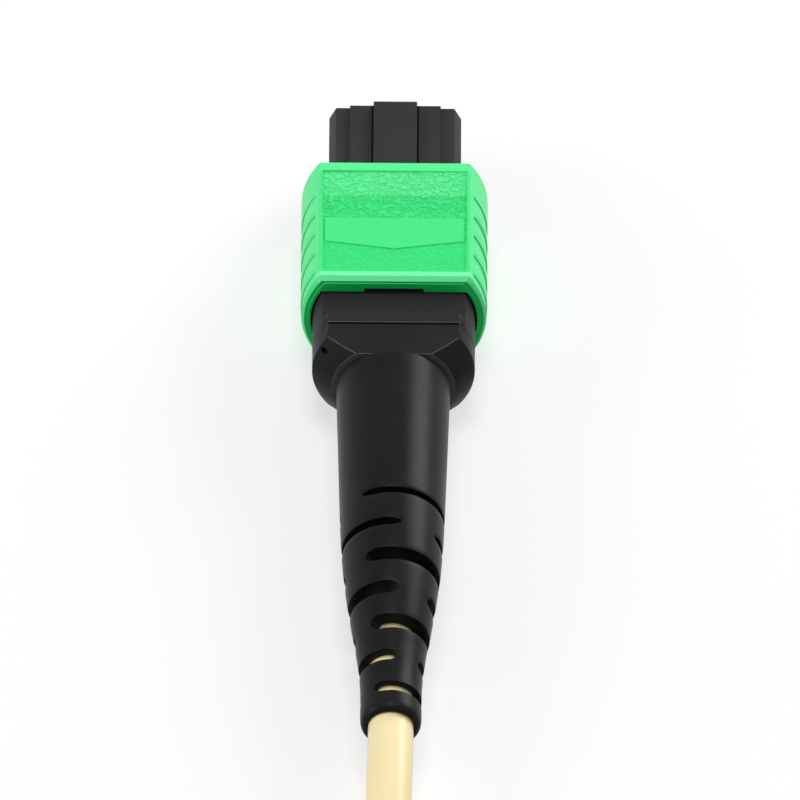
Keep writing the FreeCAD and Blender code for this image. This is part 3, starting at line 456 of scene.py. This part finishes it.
print("boot", faces_of(boot), "faces")

# %% [markdown]
# ## Moulded edges
#
# The solids of the housing, the sleeve and the spring push have the right form, but a mould
# never leaves an edge quite sharp, and it is the fine light line along an edge that tells the eye
# how hard and how large a piece is. A CAD node's own mesh is left alone, so each of these pieces
# is a copy: its loose triangles are merged, flat ones are joined into whole faces, and a bevel
# rounds every real edge. Sculpting the edges by hand would give the same, only slower.
#
# The bevel round the sleeve's rear is wider than the solid's. It is a few rings of corners, each
# at its own level between the rear face and the side. The lowest ring is drawn in, the highest
# moves forwards, and those between share the two moves.

# %% Wider bevel round the sleeve's rear
SLEEVE_REAR, RIM = -17.23 * MM, 0.1 * MM
RIM_FORWARD, RIM_INWARD = 0.22 * MM, 0.14 * MM
LOWEST_LEVEL, HIGHEST_LEVEL = 0.2, 1.05


def widen_rear_bevel(sleeve):
    """Move the bevel round the sleeve's rear: its front edge forwards and its rear edge inwards."""
    bpy.ops.object.mode_set(mode="OBJECT")
    points = sleeve.data.vertices
    levels = {0: set()}
    for edge in sleeve.data.edges:
        first, second = sorted(edge.vertices, key=lambda index: points[index].co.y)
        rear, front = points[first].co, points[second].co
        if abs(rear.y - SLEEVE_REAR) < NEAR and RIM / 3 < front.y - rear.y < RIM + NEAR:
            levels[0].add(first)
    for point in points:
        level = round((point.co.y - SLEEVE_REAR) / RIM, 2)
        if LOWEST_LEVEL < level < HIGHEST_LEVEL:
            levels.setdefault(level, set()).add(point.index)
    half_width, half_height = [max(abs(points[index].co[axis]) for index in levels[0])
                               for axis in (0, 2)]
    for level, ring in sorted(levels.items()):
        pick_points(sleeve, ring)
        inward = RIM_INWARD * (1 - level)
        bpy.ops.transform.resize(value=(1 - inward / half_width, 1, 1 - inward / half_height),
                                 center_override=(0, SLEEVE_REAR, 0))
        bpy.ops.transform.translate(value=(0, RIM_FORWARD * level, 0))
        bpy.ops.object.mode_set(mode="OBJECT")
        print("sleeve's rear bevel at level", level, "moved", len(ring), "corners")


# %% Rounded copies of the rigid nodes
EDGE_ANGLE, FLAT_ANGLE = math.radians(30), math.radians(0.5)
SAME_POINT = 0.0005 * MM


def rounded_copy(node, name, width):
    """A copy of a CAD node with whole faces and a small round along its edges."""
    clear_selection()
    source = frame["nodes"][node]
    piece = bpy.data.objects.new(name, source.data.copy())
    bpy.context.scene.collection.objects.link(piece)
    piece.data.name = name
    activate(piece)
    bpy.ops.object.mode_set(mode="EDIT")
    bpy.ops.mesh.select_all(action="SELECT")
    bpy.ops.mesh.remove_doubles(threshold=SAME_POINT)
    bpy.ops.mesh.customdata_custom_splitnormals_clear()
    bpy.ops.mesh.dissolve_limited(angle_limit=FLAT_ANGLE)
    bpy.ops.object.mode_set(mode="OBJECT")
    if node == "coupling":
        widen_rear_bevel(piece)
    finish_modifier(piece, "BEVEL", width=width * MM, segments=2, limit_method="ANGLE",
                    angle_limit=EDGE_ANGLE, use_clamp_overlap=True, harden_normals=False)
    bpy.ops.object.shade_smooth_by_angle(angle=EDGE_ANGLE)
    finish_modifier(piece, "WEIGHTED_NORMAL", keep_sharp=True)
    return piece


rounded = {}
for node, name, width in (
        ("coupling", "pull_sleeve", 0.06), ("inner_housing", "plug_housing", 0.04),
        ("spring_push", "rear_flange", 0.07), ("ferrule", "ferrule_block", 0.02),
        ("pin_clamp", "clamp_plate", 0.03), ("crimp_ring", "crimped_ring", 0.04)):
    rounded[node] = rounded_copy(node, name, width)
    print(name, faces_of(rounded[node]), "faces")

# %% [markdown]
# ## The springs
#
# Two round springs push the sleeve forward, and an oval spring in the middle pushes the ferrule.
# A spring is a wire on a helix with its end turns closed, so each is drawn as a curve with a
# round section and then made a mesh, because a spring has to flatten when the sleeve or the
# ferrule is pushed back.

# %% Spring helper
TURN_STEPS = 24
CLOSED_PITCH = 1.02
SIDE_SWING = 2.5


def ease_span(share, turns):
    """How far along the open turns a spring's wire has come, between its closed end turns."""
    return min(max((share * turns - 1) / (turns - 2), 0), 1)


def wind_spring(name, node, wire, turns, oval):
    """A compression spring in the space of a CAD node: its wire's path, then a round section."""
    low, high = (Vector(corner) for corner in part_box(node))
    middle = (low + high) / 2
    reach_x, reach_z = (high.x - low.x - wire) / 2, (high.z - low.z - wire) / 2
    rear, front = low.y + wire / 2, high.y - wire / 2
    straight = reach_x - reach_z if oval else 0
    count = TURN_STEPS * turns
    closed = wire * CLOSED_PITCH / (front - rear)
    places = []
    for step in range(count + 1):
        share = step / count
        angle = 2 * math.pi * turns * share
        ends = min(share * turns, 1), min((1 - share) * turns, 1)
        pace = (closed * ends[0] + (1 - 2 * closed) * ease_span(share, turns)
                + closed * (1 - ends[1]))
        x, z = math.cos(angle), math.sin(angle)
        side = straight * max(-1, min(1, x * SIDE_SWING))
        places.append((middle.x + side + reach_z * x if oval else middle.x + reach_x * x,
                       front - (front - rear) * pace, middle.z + reach_z * z))
    activate(round_curve(places, wire, steps=2, sides=2))
    bpy.ops.object.convert(target="MESH")
    spring = settle(bpy.context.object, name)
    bpy.ops.object.shade_smooth()
    return spring


springs = {}
for name, node, wire, turns, oval in (
        ("sleeve_spring_left", "coupling_spring_left", 0.2 * MM, 8, False),
        ("sleeve_spring_right", "coupling_spring_right", 0.2 * MM, 8, False),
        ("ferrule_push_spring", "ferrule_spring", 0.45 * MM, 7, True)):
    springs[name] = wind_spring(name, node, wire, turns, oval)
    print(name, faces_of(springs[name]), "faces")

# %% [markdown]
# ## The cable's far end
#
# A pigtail leaves the factory with its far end cut, ready for splicing: the jacket stops, the
# yarn under it frays a little, and the twelve coated fibres stand out, three in the middle and
# nine round them. A fibre is a thin cylinder that leans outwards, with its tip rounded by a
# bevel. A strand of yarn is a thin cone, and the fringe is a ring of them, joined. The fibres
# have the twelve colours of the usual code, in its order.

# %% Far end
END = Vector(route[-1])
FIBRE_SHADES = {
    "blue": (40, 96, 190), "orange": (240, 128, 36), "green": (40, 150, 72), "brown": (122, 78, 48),
    "slate": (120, 130, 138), "white": (232, 232, 228), "red": (206, 40, 44), "black": (34, 34, 36),
    "yellow": (244, 212, 50), "violet": (128, 74, 160), "rose": (238, 150, 168),
    "aqua": (90, 200, 204)}
TIP_LENGTH, TIP_RADIUS, TIP_ROUND = 4.4 * MM, 0.125 * MM, 0.03 * MM
INNER_TIPS, OUTER_TIPS = 3, 9
INNER_RING, INNER_LEAN = 0.15 * MM, math.radians(1.5)
OUTER_RING, OUTER_LEAN = 0.46 * MM, math.radians(5)
YARN_STRANDS, YARN_LENGTH, YARN_RING = 18, 2.8 * MM, 0.82 * MM
STRAND_FOOT, STRAND_POINT = 0.11 * MM, 0.02 * MM
INSIDE = 0.5 * MM


def stand_out(turn, radius, lean):
    """Turn and move the object in hand so that it leaves the cable's end at this place."""
    out = Vector((math.cos(turn), 0, math.sin(turn)))
    aim_at = Vector((0, -math.cos(lean), 0)) + out * math.sin(lean)
    strand = bpy.context.object
    half = strand.dimensions.z / 2
    strand.rotation_mode = "QUATERNION"
    strand.rotation_quaternion = aim_at.to_track_quat("Z", "X")
    strand.location = END + out * radius + aim_at * half + Vector((0, INSIDE, 0))


fibre_tips = {}
for count, ink in enumerate(FIBRE_SHADES):
    clear_selection()
    bpy.ops.mesh.primitive_cylinder_add(vertices=12, radius=TIP_RADIUS, depth=TIP_LENGTH)
    if count < INNER_TIPS:
        stand_out(2 * math.pi * count / INNER_TIPS, INNER_RING, INNER_LEAN)
    else:
        stand_out(2 * math.pi * count / OUTER_TIPS, OUTER_RING, OUTER_LEAN)
    tip = settle(bpy.context.object, "fibre_tip_" + ink)
    finish_modifier(tip, "BEVEL", width=TIP_ROUND, segments=2)
    fibre_tips[ink] = tip
strands = []
for count in range(YARN_STRANDS):
    length = YARN_LENGTH * (0.75 + 0.25 * math.sin(count * 2.4))
    lean = math.radians(6 + 2 * math.sin(count * 4.1))
    clear_selection()
    bpy.ops.mesh.primitive_cone_add(
        vertices=6, radius1=STRAND_FOOT, radius2=STRAND_POINT, depth=length)
    stand_out(2 * math.pi * count / YARN_STRANDS, YARN_RING, lean)
    strands.append(settle(bpy.context.object, "strand"))
clear_selection()
for strand in strands:
    strand.select_set(True)
bpy.context.view_layer.objects.active = strands[0]
bpy.ops.object.join()
yarn_fringe = settle(bpy.context.object, "yarn_fringe")
bpy.ops.object.shade_smooth()
print("far end:", len(fibre_tips), "fibre tips and", faces_of(yarn_fringe), "faces of yarn")

# %% [markdown]
# ## Writing materials as sums
#
# Every finish is made of shader nodes. To write them as ordinary Python, a `Wire` wraps the
# output of a node: adding or multiplying wires adds the Math nodes. `node` makes any other
# node: its settings come first, then the values or wires of its inputs.

# %% The wire class
class Wire:
    """One output of a shader node, which can be used in sums."""

    def __init__(self, tree, socket=None):
        self.tree = tree
        self.socket = socket

    def node(self, kind, settings=None, inputs=None, output=0):
        """Add a node with its settings and inputs, and return one of its outputs."""
        made = self.tree.nodes.new(kind)
        for key, value in (settings or {}).items():
            setattr(made, key, value)
        for key, value in (inputs or {}).items():
            if isinstance(value, Wire):
                self.tree.links.new(value.socket, made.inputs[key])
            else:
                made.inputs[key].default_value = value
        return Wire(self.tree, made.outputs[output])

    def maths(self, operation, first, second=0.0):
        """A Math node on one or two numbers or wires."""
        return self.node("ShaderNodeMath", {"operation": operation}, {0: first, 1: second})

    def __add__(self, other):
        return self.maths("ADD", self, other)

    __radd__ = __add__

    def __sub__(self, other):
        return self.maths("SUBTRACT", self, other)

    def __rsub__(self, other):
        return self.maths("SUBTRACT", other, self)

    def __mul__(self, other):
        return self.maths("MULTIPLY", self, other)

    __rmul__ = __mul__

    def most(self, other):
        """The larger of two values."""
        return self.maths("MAXIMUM", self, other)

    def size(self):
        """The value without its sign."""
        return self.maths("ABSOLUTE", self)

    def wave(self):
        """A wave between 0 and 1, with this value as its angle."""
        return self.maths("SINE", self) * 0.5 + 0.5

    def band(self, low, high):
        """0 below low, 1 above high, and a smooth rise between."""
        return self.node("ShaderNodeMapRange", {"interpolation_type": "SMOOTHSTEP"}, {
            "Value": self, "From Min": low, "From Max": high, "To Min": 0.0, "To Max": 1.0})


def rgb(red, green, blue):
    """A screen colour, 0 to 255, as the linear colour that Blender's sockets take."""
    linear = []
    for part in (red, green, blue):
        part /= 255
        linear.append(part / 12.92 if part <= 0.04045 else ((part + 0.055) / 1.055) ** 2.4)
    return (*linear, 1)


class Finish:
    """A material in the making: its name, its coordinates and its main shader."""

    def __init__(self, name, **constants):
        self.material = bpy.data.materials.new(name)
        self.material.use_nodes = True
        self.tree = self.material.node_tree
        self.start = Wire(self.tree)
        self.shader = self.tree.nodes["Principled BSDF"]
        self.place = self.start.node("ShaderNodeTexCoord", output="Object")
        for key, value in constants.items():
            self.shader.inputs[key.replace("_", " ")].default_value = value

    def axes(self):
        """The x, y and z of the place, in millimetres."""
        parts = [self.start.node("ShaderNodeSeparateXYZ", None, {0: self.place}, axis)
                 for axis in range(3)]
        return [part * 1000 for part in parts]

    def noise(self, per_mm, detail=2.0, roughness=0.5, stretch=(1, 1, 1)):
        """A soft random pattern, with this many waves to a millimetre."""
        at = self.start.node("ShaderNodeMapping", None, {"Vector": self.place, "Scale": stretch})
        return self.start.node("ShaderNodeTexNoise", None, {
            "Vector": at, "Scale": per_mm / MM, "Detail": detail, "Roughness": roughness})

    def mix(self, share, first, second):
        """A colour between two colours."""
        return self.start.node("ShaderNodeMix", {"data_type": "RGBA"},
                               {0: share, 6: first, 7: second}, 2)

    def set(self, **links):
        """Join wires to the shader's inputs."""
        for key, value in links.items():
            self.tree.links.new(value.socket, self.shader.inputs[key.replace("_", " ")])

    def relief(self, height, depth_mm, strength=1.0):
        """Bump from a height of 0 to 1 that stands for this many millimetres."""
        bump = self.start.node("ShaderNodeBump", None, {
            "Height": height, "Distance": depth_mm * MM, "Strength": strength})
        self.set(Normal=bump)


def wear(thing, finish):
    """Give a piece this finish, in every material slot that it has."""
    if not thing.data.materials:
        thing.data.materials.append(finish.material)
    for index in range(len(thing.data.materials)):
        thing.data.materials[index] = finish.material


print("finish helpers ready")

# %% [markdown]
# ## Black plastics
#
# The housing and the spring push are moulded in a matte black resin. It isn't pure black: light
# falls on it as a dark grey, with a fine spark-eroded grain, and slightly lighter where it was
# handled. The boot is softer and has a broad satin sheen.
#
# A few places get painted light and shade of their own: painted highlights lighten the collar's
# rear edge and the flange's edges, and painted shade darkens the housing behind the sleeve, the
# key's foot, the nose's rim and the flange's front at the joint. Each is found by its distance in
# millimetres, as a pair of numbers between which the shade comes in.

# %% Housing and boot finishes
GRAIN_DEPTH = 0.006


def moulded_black(name, shade, gloss, grain_scale, shine):
    """A matte black resin: a dark grey with a faint grain and a few lighter rubs."""
    finish = Finish(name, Specular_IOR_Level=shine)
    cloud = finish.noise(0.25, 3.0, 0.6)
    speck = finish.noise(grain_scale, 2.0, 0.5)
    light = tuple(min(part * 1.16 + 0.002, 1) for part in shade[:3]) + (1,)
    finish.set(Base_Color=finish.mix(cloud.band(0.3, 0.75) * 0.7 + speck * 0.3, shade, light),
               Roughness=gloss + (cloud - 0.5) * 0.12 + (speck - 0.5) * 0.06)
    finish.relief(speck, GRAIN_DEPTH, 0.6)
    return finish


housing_black = moulded_black("housing_black", rgb(54, 54, 55), 0.42, 9.0, 0.02)
# Painted shade: the flange is a darker grey than the housing, for the shade it lies in near the
# sleeve.
flange_black = moulded_black("flange_black", rgb(38, 38, 39), 0.34, 9.0, 0.02)
boot_black = moulded_black("boot_black", rgb(20, 20, 21), 0.36, 5.0, 0.07)
print("black finishes made")


# %% Painted light and shade on the housing
def shade_over(finish, mask, shade):
    """Lay another colour over a finish where the mask is 1."""
    socket = finish.shader.inputs["Base Color"]
    under = Wire(finish.tree, socket.links[0].from_socket)
    finish.set(Base_Color=finish.mix(mask, under, shade))


HOUSING_REAR = 20.58
UNDER_SLEEVE, REAR_SHARE = (10, 14), 0.85
KEY_SIDE, KEY_FOOT, FLAT_LEVEL, KEY_END = (1.43, 1.46), (1.54, 1.64), (2.0, 2.2), (6.1, 6.3)
NOSE_FRONT, NOSE_BEVEL = (0.01, 0.03), (0.1, 0.16)
across, along, up = housing_black.axes()
behind, side = 0 - along, across.size()
# Painted shade: the housing behind the sleeve is a darker grey, for the shade the sleeve casts on
# it.
shade_over(housing_black, behind.band(*UNDER_SLEEVE) * REAR_SHARE, rgb(46, 46, 47))
# Painted shade: a dark line at each side of the key's foot, where the key's contact shade falls.
key_foot_shade = side.band(*KEY_SIDE) * (1 - side.band(*KEY_FOOT)) * up.band(*FLAT_LEVEL)
shade_over(housing_black, key_foot_shade * (1 - behind.band(*KEY_END)), rgb(16, 16, 17))
# Painted shade: a dark line round the nose's front rim.
nose_rim_shade = behind.band(*NOSE_FRONT) * (1 - behind.band(*NOSE_BEVEL))
shade_over(housing_black, nose_rim_shade, rgb(22, 22, 23))
# Painted highlight: a light line along the collar's rear edge, where the edge catches the light.
edge_highlight = behind.band(HOUSING_REAR - 0.07, HOUSING_REAR - 0.04)
shade_over(housing_black, edge_highlight, rgb(98, 98, 99))
print("shades on the housing: 4")

# %% Painted light and shade on the flange
FLANGE_REAR = 23.48
CONE_TOP = (2.9, 3.0)
LEANS_BACK, LEANS_UP, LIES_FLAT = (0.04, 0.12), (0.66, 0.72), (0.99, 0.998)
along, up = flange_black.axes()[1:]
behind = 0 - along
# Painted shade: a near-black band at the flange's front, for the shade in the gap to the housing.
joint_shade = 1 - behind.band(HOUSING_REAR + 0.2, HOUSING_REAR + 0.23)
shade_over(flange_black, joint_shade, rgb(4, 4, 4))
# Painted highlight: a light line round the flange's rear edge.
edge_highlight = behind.band(FLANGE_REAR - 0.04, FLANGE_REAR - 0.01)
shade_over(flange_black, edge_highlight, rgb(96, 96, 97))
# Painted highlight: a light line on the rounded edge between the flange's flat and its cone, found
# by the edge's normal.
normal = flange_black.start.node("ShaderNodeNewGeometry", output="True Normal")
forward, upward = (flange_black.start.node("ShaderNodeSeparateXYZ", None, {0: normal}, axis)
                   for axis in (1, 2))
cone_edge_highlight = ((0 - forward).band(*LEANS_BACK) * upward.band(*LEANS_UP)
             * (1 - upward.band(*LIES_FLAT)) * up.band(*CONE_TOP))
shade_over(flange_black, cone_edge_highlight, rgb(120, 120, 122))
print("shades on the flange: 3")

# %% [markdown]
# ## The green sleeve
#
# The sleeve is moulded in a bright, slightly waxy green. The mould was spark-eroded where the
# fingers hold it, so the grip is speckled and a little darker, while the front band, the lip
# and the plain panel are smooth. The panel's rear edge runs to a blunt point in the middle.

# %% Where the sleeve is smooth
FACE_LEVEL, GRIP_SIDE = (3.3, 3.55), (4.74, 4.8)
GRIP_FRONT, GRIP_REAR = (7.27, 7.35), (16.43, 16.53)
PANEL_FRONT, PANEL_SIDE, PANEL_POINT, PANEL_SLOPE = (11.56, 11.60), (4.6, 4.64), 14.41, 0.152
PANEL_EDGE, TOP_HALF = (-0.03, 0.03), (0.0, 0.1)
LIP_FRONT, LIP_REAR, LIP_LEVEL = (16.5, 16.56), (17.2, 17.23), (3.3, 3.4)
sleeve_green = Finish("sleeve_green", Specular_IOR_Level=0.1)
across, along, up = sleeve_green.axes()
behind, side, level = 0 - along, across.size(), up.size()
on_face = level.band(*FACE_LEVEL) * (1 - side.band(*GRIP_SIDE))
zone = behind.band(*GRIP_FRONT) * (1 - behind.band(*GRIP_REAR))
panel_rear = (behind - (PANEL_POINT - side * PANEL_SLOPE)).band(*PANEL_EDGE)
panel = behind.band(*PANEL_FRONT) * (1 - panel_rear) * up.band(*TOP_HALF)
panel = panel * (1 - side.band(*PANEL_SIDE))
textured = on_face * zone * (1 - panel)
lip = behind.band(*LIP_FRONT) * (1 - behind.band(*LIP_REAR)) * up.band(*LIP_LEVEL)
print("sleeve's smooth and textured places set")

# %% Sleeve finish
RIM_STRIP, SLOPE_END, CALM_REAR = (3.80, 3.83), (9.3, 9.6), (13.6, 14.0)
GRIP_DEPTH = 0.1
pits = sleeve_green.noise(3.4, 2.0, 0.55)
fine = sleeve_green.noise(8.0, 2.0, 0.5)
grain = pits.band(0.42, 0.6) * 0.8 + fine * 0.2
bold = 1 - behind.band(*CALM_REAR) * 0.65
cloud = sleeve_green.noise(0.2, 2.0) * 0.35
plain = sleeve_green.mix(cloud, rgb(96, 244, 154), rgb(84, 238, 142))
# Painted highlight: the lip on the top is lighter. Painted shade: the sleeve's rear face behind it
# is a darker, deeper green.
for mask, shade in (
        (panel * on_face, rgb(72, 234, 134)), (level.band(*RIM_STRIP) * zone, rgb(76, 232, 137)),
        (lip, rgb(120, 250, 172)), (behind.band(*LIP_REAR), rgb(36, 234, 116))):
    plain = sleeve_green.mix(mask, plain, shade)
# The grip is lighter in front of its slope and darker behind it.
front_grip = sleeve_green.mix(grain * bold, rgb(86, 237, 145), rgb(98, 246, 157))
rear_grip = sleeve_green.mix(grain * bold, rgb(58, 225, 123), rgb(70, 236, 136))
rough = sleeve_green.mix(behind.band(*SLOPE_END), front_grip, rear_grip)
sleeve_green.set(Base_Color=sleeve_green.mix(textured, plain, rough),
                 Roughness=0.36 + textured * 0.16 + (fine - 0.5) * 0.06)
sleeve_green.relief(grain * textured * bold + fine * 0.02, GRIP_DEPTH)
print("sleeve finish made")

# %% [markdown]
# ## Cable, yarn, fibres and tie
#
# The cable's jacket is a pale yellow soft plastic, faintly mottled. Under the crimp lie bright
# yellow aramid yarns, and inside run the twelve fibres, each in its own colour. The tie is a
# woven black strap.

# %% Jacket, yarn and fibre finishes
jacket_yellow = Finish("jacket_yellow", Specular_IOR_Level=0.4)
mottle = jacket_yellow.noise(0.5, 3.0, 0.6)
dust = jacket_yellow.noise(6.0, 2.0, 0.5)
jacket_yellow.set(
    Base_Color=jacket_yellow.mix(mottle * 0.8 + dust * 0.2, rgb(249, 230, 172), rgb(252, 238, 190)),
    Roughness=0.42 + (dust - 0.5) * 0.1)
jacket_yellow.relief(dust, 0.01, 0.5)

yarn = Finish("yarn", Specular_IOR_Level=0.5, Sheen_Weight=0.3)
strands = yarn.noise(7.0, 2.0, 0.6, (1, 0.06, 1))
yarn.set(Base_Color=yarn.mix(strands.band(0.3, 0.7), rgb(196, 160, 62), rgb(244, 218, 120)),
         Roughness=0.5 + strands * 0.2)
yarn.relief(strands, 0.04)


def fibre_finish(colour, shade):
    """Coloured ink under a clear coat, slightly uneven along the fibre."""
    finish = Finish("fibre_" + colour, Coat_Weight=0.4, Coat_Roughness=0.1)
    streak = finish.noise(1.5, 2.0, 0.5, (1, 0.3, 1))
    deep = tuple(part * 0.8 for part in rgb(*shade)[:3]) + (1,)
    finish.set(Base_Color=finish.mix(streak, deep, rgb(*shade)), Roughness=0.3 + streak * 0.12)
    return finish


fibre_inks = {colour: fibre_finish(colour, shade) for colour, shade in FIBRE_SHADES.items()}
print("fibre finishes:", len(fibre_inks))

# %% Tie finish
THREADS, THREAD_DEPTH = 9, 0.06
tie_black = Finish("tie_black", Specular_IOR_Level=0.3, Sheen_Weight=0.2)
across, along, up = tie_black.axes()
weave = (across * THREADS).wave()
ribs = (along * THREADS + up * THREADS).wave()
fuzz = tie_black.noise(5.0, 3.0, 0.6)
cloth = weave * 0.35 + ribs * 0.35 + fuzz * 0.3
tie_black.set(Base_Color=tie_black.mix(cloth, rgb(26, 26, 27), rgb(52, 52, 54)),
              Roughness=0.75 + fuzz * 0.15)
tie_black.relief(cloth, THREAD_DEPTH)
print("tie finish made")

# %% [markdown]
# ## Metal and resin inside
#
# The springs are drawn steel wire, the crimp ring is turned and nickel-plated brass, and the
# ferrule is a hard black resin filled with glass beads, which makes it sparkle very finely.

# %% Metal and resin finishes
spring_steel = Finish("spring_steel", Metallic=1.0)
drawn = spring_steel.noise(9.0, 2.0, 0.6)
spring_steel.set(Base_Color=spring_steel.mix(drawn, rgb(150, 152, 156), rgb(206, 207, 210)),
                 Roughness=0.24 + drawn * 0.14)
spring_steel.relief(drawn, 0.004, 0.5)

crimp_metal = Finish("crimp_metal", Metallic=1.0)
lines = crimp_metal.noise(14.0, 1.0, 0.5, (0.05, 1, 0.05))
stain = crimp_metal.noise(0.6, 3.0, 0.6)
crimp_metal.set(
    Base_Color=crimp_metal.mix(stain * 0.5 + lines * 0.5, rgb(168, 158, 132), rgb(220, 212, 190)),
    Roughness=0.28 + lines * 0.16)
crimp_metal.relief(lines, 0.006, 0.6)


def filled_resin(name, shade, bead):
    """A glass-filled resin: a plain body with fine pale beads."""
    finish = Finish(name, Specular_IOR_Level=0.5)
    beads = finish.noise(22.0, 1.0, 0.5).band(0.62, 0.72)
    cloud = finish.noise(0.8, 2.0, 0.5)
    finish.set(Base_Color=finish.mix(beads * 0.6 + cloud * 0.15, shade, bead),
               Roughness=0.32 + cloud * 0.12)
    finish.relief(beads, 0.003, 0.5)
    return finish


ferrule_resin = filled_resin("ferrule_resin", rgb(38, 36, 36), rgb(120, 116, 112))
clamp_resin = filled_resin("clamp_resin", rgb(88, 90, 94), rgb(150, 152, 156))
soft_rubber = filled_resin("soft_rubber", rgb(46, 62, 86), rgb(66, 84, 110))
print("metal and resin finishes made")

# %% [markdown]
# ## Dressing the CAD nodes
#
# Every CAD node names its own material slot in the record, and gets the finish of that name. A
# node that a new piece stands for is dressed too, although only the new piece is seen.

# %% Dress the nodes
FINISHES = {
    "housing_black": housing_black, "sleeve_green": sleeve_green, "spring_steel": spring_steel,
    "ferrule_resin": ferrule_resin, "soft_rubber": soft_rubber, "clamp_resin": clamp_resin,
    "boot_black": boot_black, "crimp_metal": crimp_metal, "yarn": yarn,
    "jacket_yellow": jacket_yellow, "tie_black": tie_black}
FINISHES.update({"fibre_" + colour: ink for colour, ink in fibre_inks.items()})
subparts = frame["record"]["subparts"]
for part in subparts:
    wear(frame["nodes"][part["node"]], FINISHES[part["material_slot"]])
print("nodes dressed:", len(subparts))

# %% [markdown]
# ## Putting the new pieces on their bodies
#
# Each new piece rides on the CAD body whose solid it stands for.

# %% Ride and replace
wear(boot, boot_black)
wear(cable, jacket_yellow)
for spring in springs.values():
    wear(spring, spring_steel)
for part in subparts:
    if part["node"] in rounded:
        piece = rounded[part["node"]]
        finish = FINISHES[part["material_slot"]]
        wear(piece, flange_black if part["node"] == "spring_push" else finish)
        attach(piece, frame["nodes"][part["node"]]["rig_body"])
        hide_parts(part["node"])
for piece, nodes, slot_name in (
        (boot, ["strain_relief_boot"], "boot_black"),
        (cable, ["cable_run", "cable_hank"], "jacket_yellow"),
        (springs["sleeve_spring_left"], ["coupling_spring_left"], "spring_steel"),
        (springs["sleeve_spring_right"], ["coupling_spring_right"], "spring_steel"),
        (springs["ferrule_push_spring"], ["ferrule_spring"], "spring_steel")):
    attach(piece, "housing_body")
    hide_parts(*nodes)
for ink, tip in fibre_tips.items():
    wear(tip, fibre_inks[ink])
    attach(tip, "housing_body")
wear(yarn_fringe, yarn)
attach(yarn_fringe, "housing_body")
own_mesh(springs["sleeve_spring_left"])
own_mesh(springs["sleeve_spring_right"])
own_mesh(springs["ferrule_push_spring"])
new_pieces = [boot, cable, yarn_fringe, *springs.values(), *rounded.values(), *fibre_tips.values()]
print("new pieces:", len(new_pieces))

# %% [markdown]
# ## Floor and light
#
# A plain white floor carries the soft shadow. The light is that of a studio tent: a white
# surround and three large soft lamps, at a level where a colour renders about as it is written.

# %% Floor
FLOOR_SIZE, FLOOR_DROP = 3, 0.02 * MM
GLOW, BARE = 0.6, 0.4
clear_selection()
bpy.ops.mesh.primitive_plane_add(size=FLOOR_SIZE, location=(0, 0, FLOOR - FLOOR_DROP))
floor = settle(bpy.context.object, "floor")


def grey(level):
    """A linear grey of this level."""
    return (level, level, level, 1)


def seen_directly(wire):
    """1 where an eye, a mirror or glass looks at a surface, and 0 where it only gives light."""
    paths = [wire.node("ShaderNodeLightPath", output=name)
             for name in ("Is Camera Ray", "Is Glossy Ray", "Is Transmission Ray")]
    return paths[0].most(paths[1]).most(paths[2])


paper = Finish("paper_white", Roughness=0.9, Specular_IOR_Level=0.0, Emission_Strength=1.0)
direct = seen_directly(paper.start)
paper.set(Base_Color=paper.mix(direct, grey(BARE), grey(1 - GLOW)),
          Emission_Color=paper.mix(direct, grey(0), grey(GLOW)))
wear(floor, paper)
print("floor at", round((FLOOR - FLOOR_DROP) / MM, 2), "mm")

# %% World
AMBIENT = 0.24
world = bpy.data.worlds.new("studio")
bpy.context.scene.world = world
world.use_nodes = True
sky = Wire(world.node_tree)
ambient = sky.node("ShaderNodeBackground", None, {"Color": grey(1), "Strength": AMBIENT})
white = sky.node("ShaderNodeBackground", None, {"Color": grey(1), "Strength": 1.0})
both = sky.node("ShaderNodeMixShader", None, {0: seen_directly(sky), 1: ambient, 2: white})
world.node_tree.links.new(both.socket, world.node_tree.nodes["World Output"].inputs["Surface"])
print("world made")

# %% Lamps
LAMP_TARGET = Vector((0, -25, 0)) * MM


def soft_lamp(name, place, size, power):
    """A square soft box at a place in millimetres, aimed at the connector's middle."""
    data = bpy.data.lights.new(name, "AREA")
    data.shape = "SQUARE"
    data.size = size * MM
    data.energy = power
    lamp = bpy.data.objects.new(name, data)
    lamp.location = Vector(place) * MM
    lamp.rotation_mode = "QUATERNION"
    lamp.rotation_quaternion = (LAMP_TARGET - lamp.location).to_track_quat("-Z", "Y")
    bpy.context.scene.collection.objects.link(lamp)
    return lamp


lamps = [
    soft_lamp("over", (0, 60, 590), 240, 1.44),
    soft_lamp("left", (-530, -60, 220), 300, 1.45),
    soft_lamp("right", (400, 380, 250), 300, 2.5)]
print("lamps:", len(lamps))
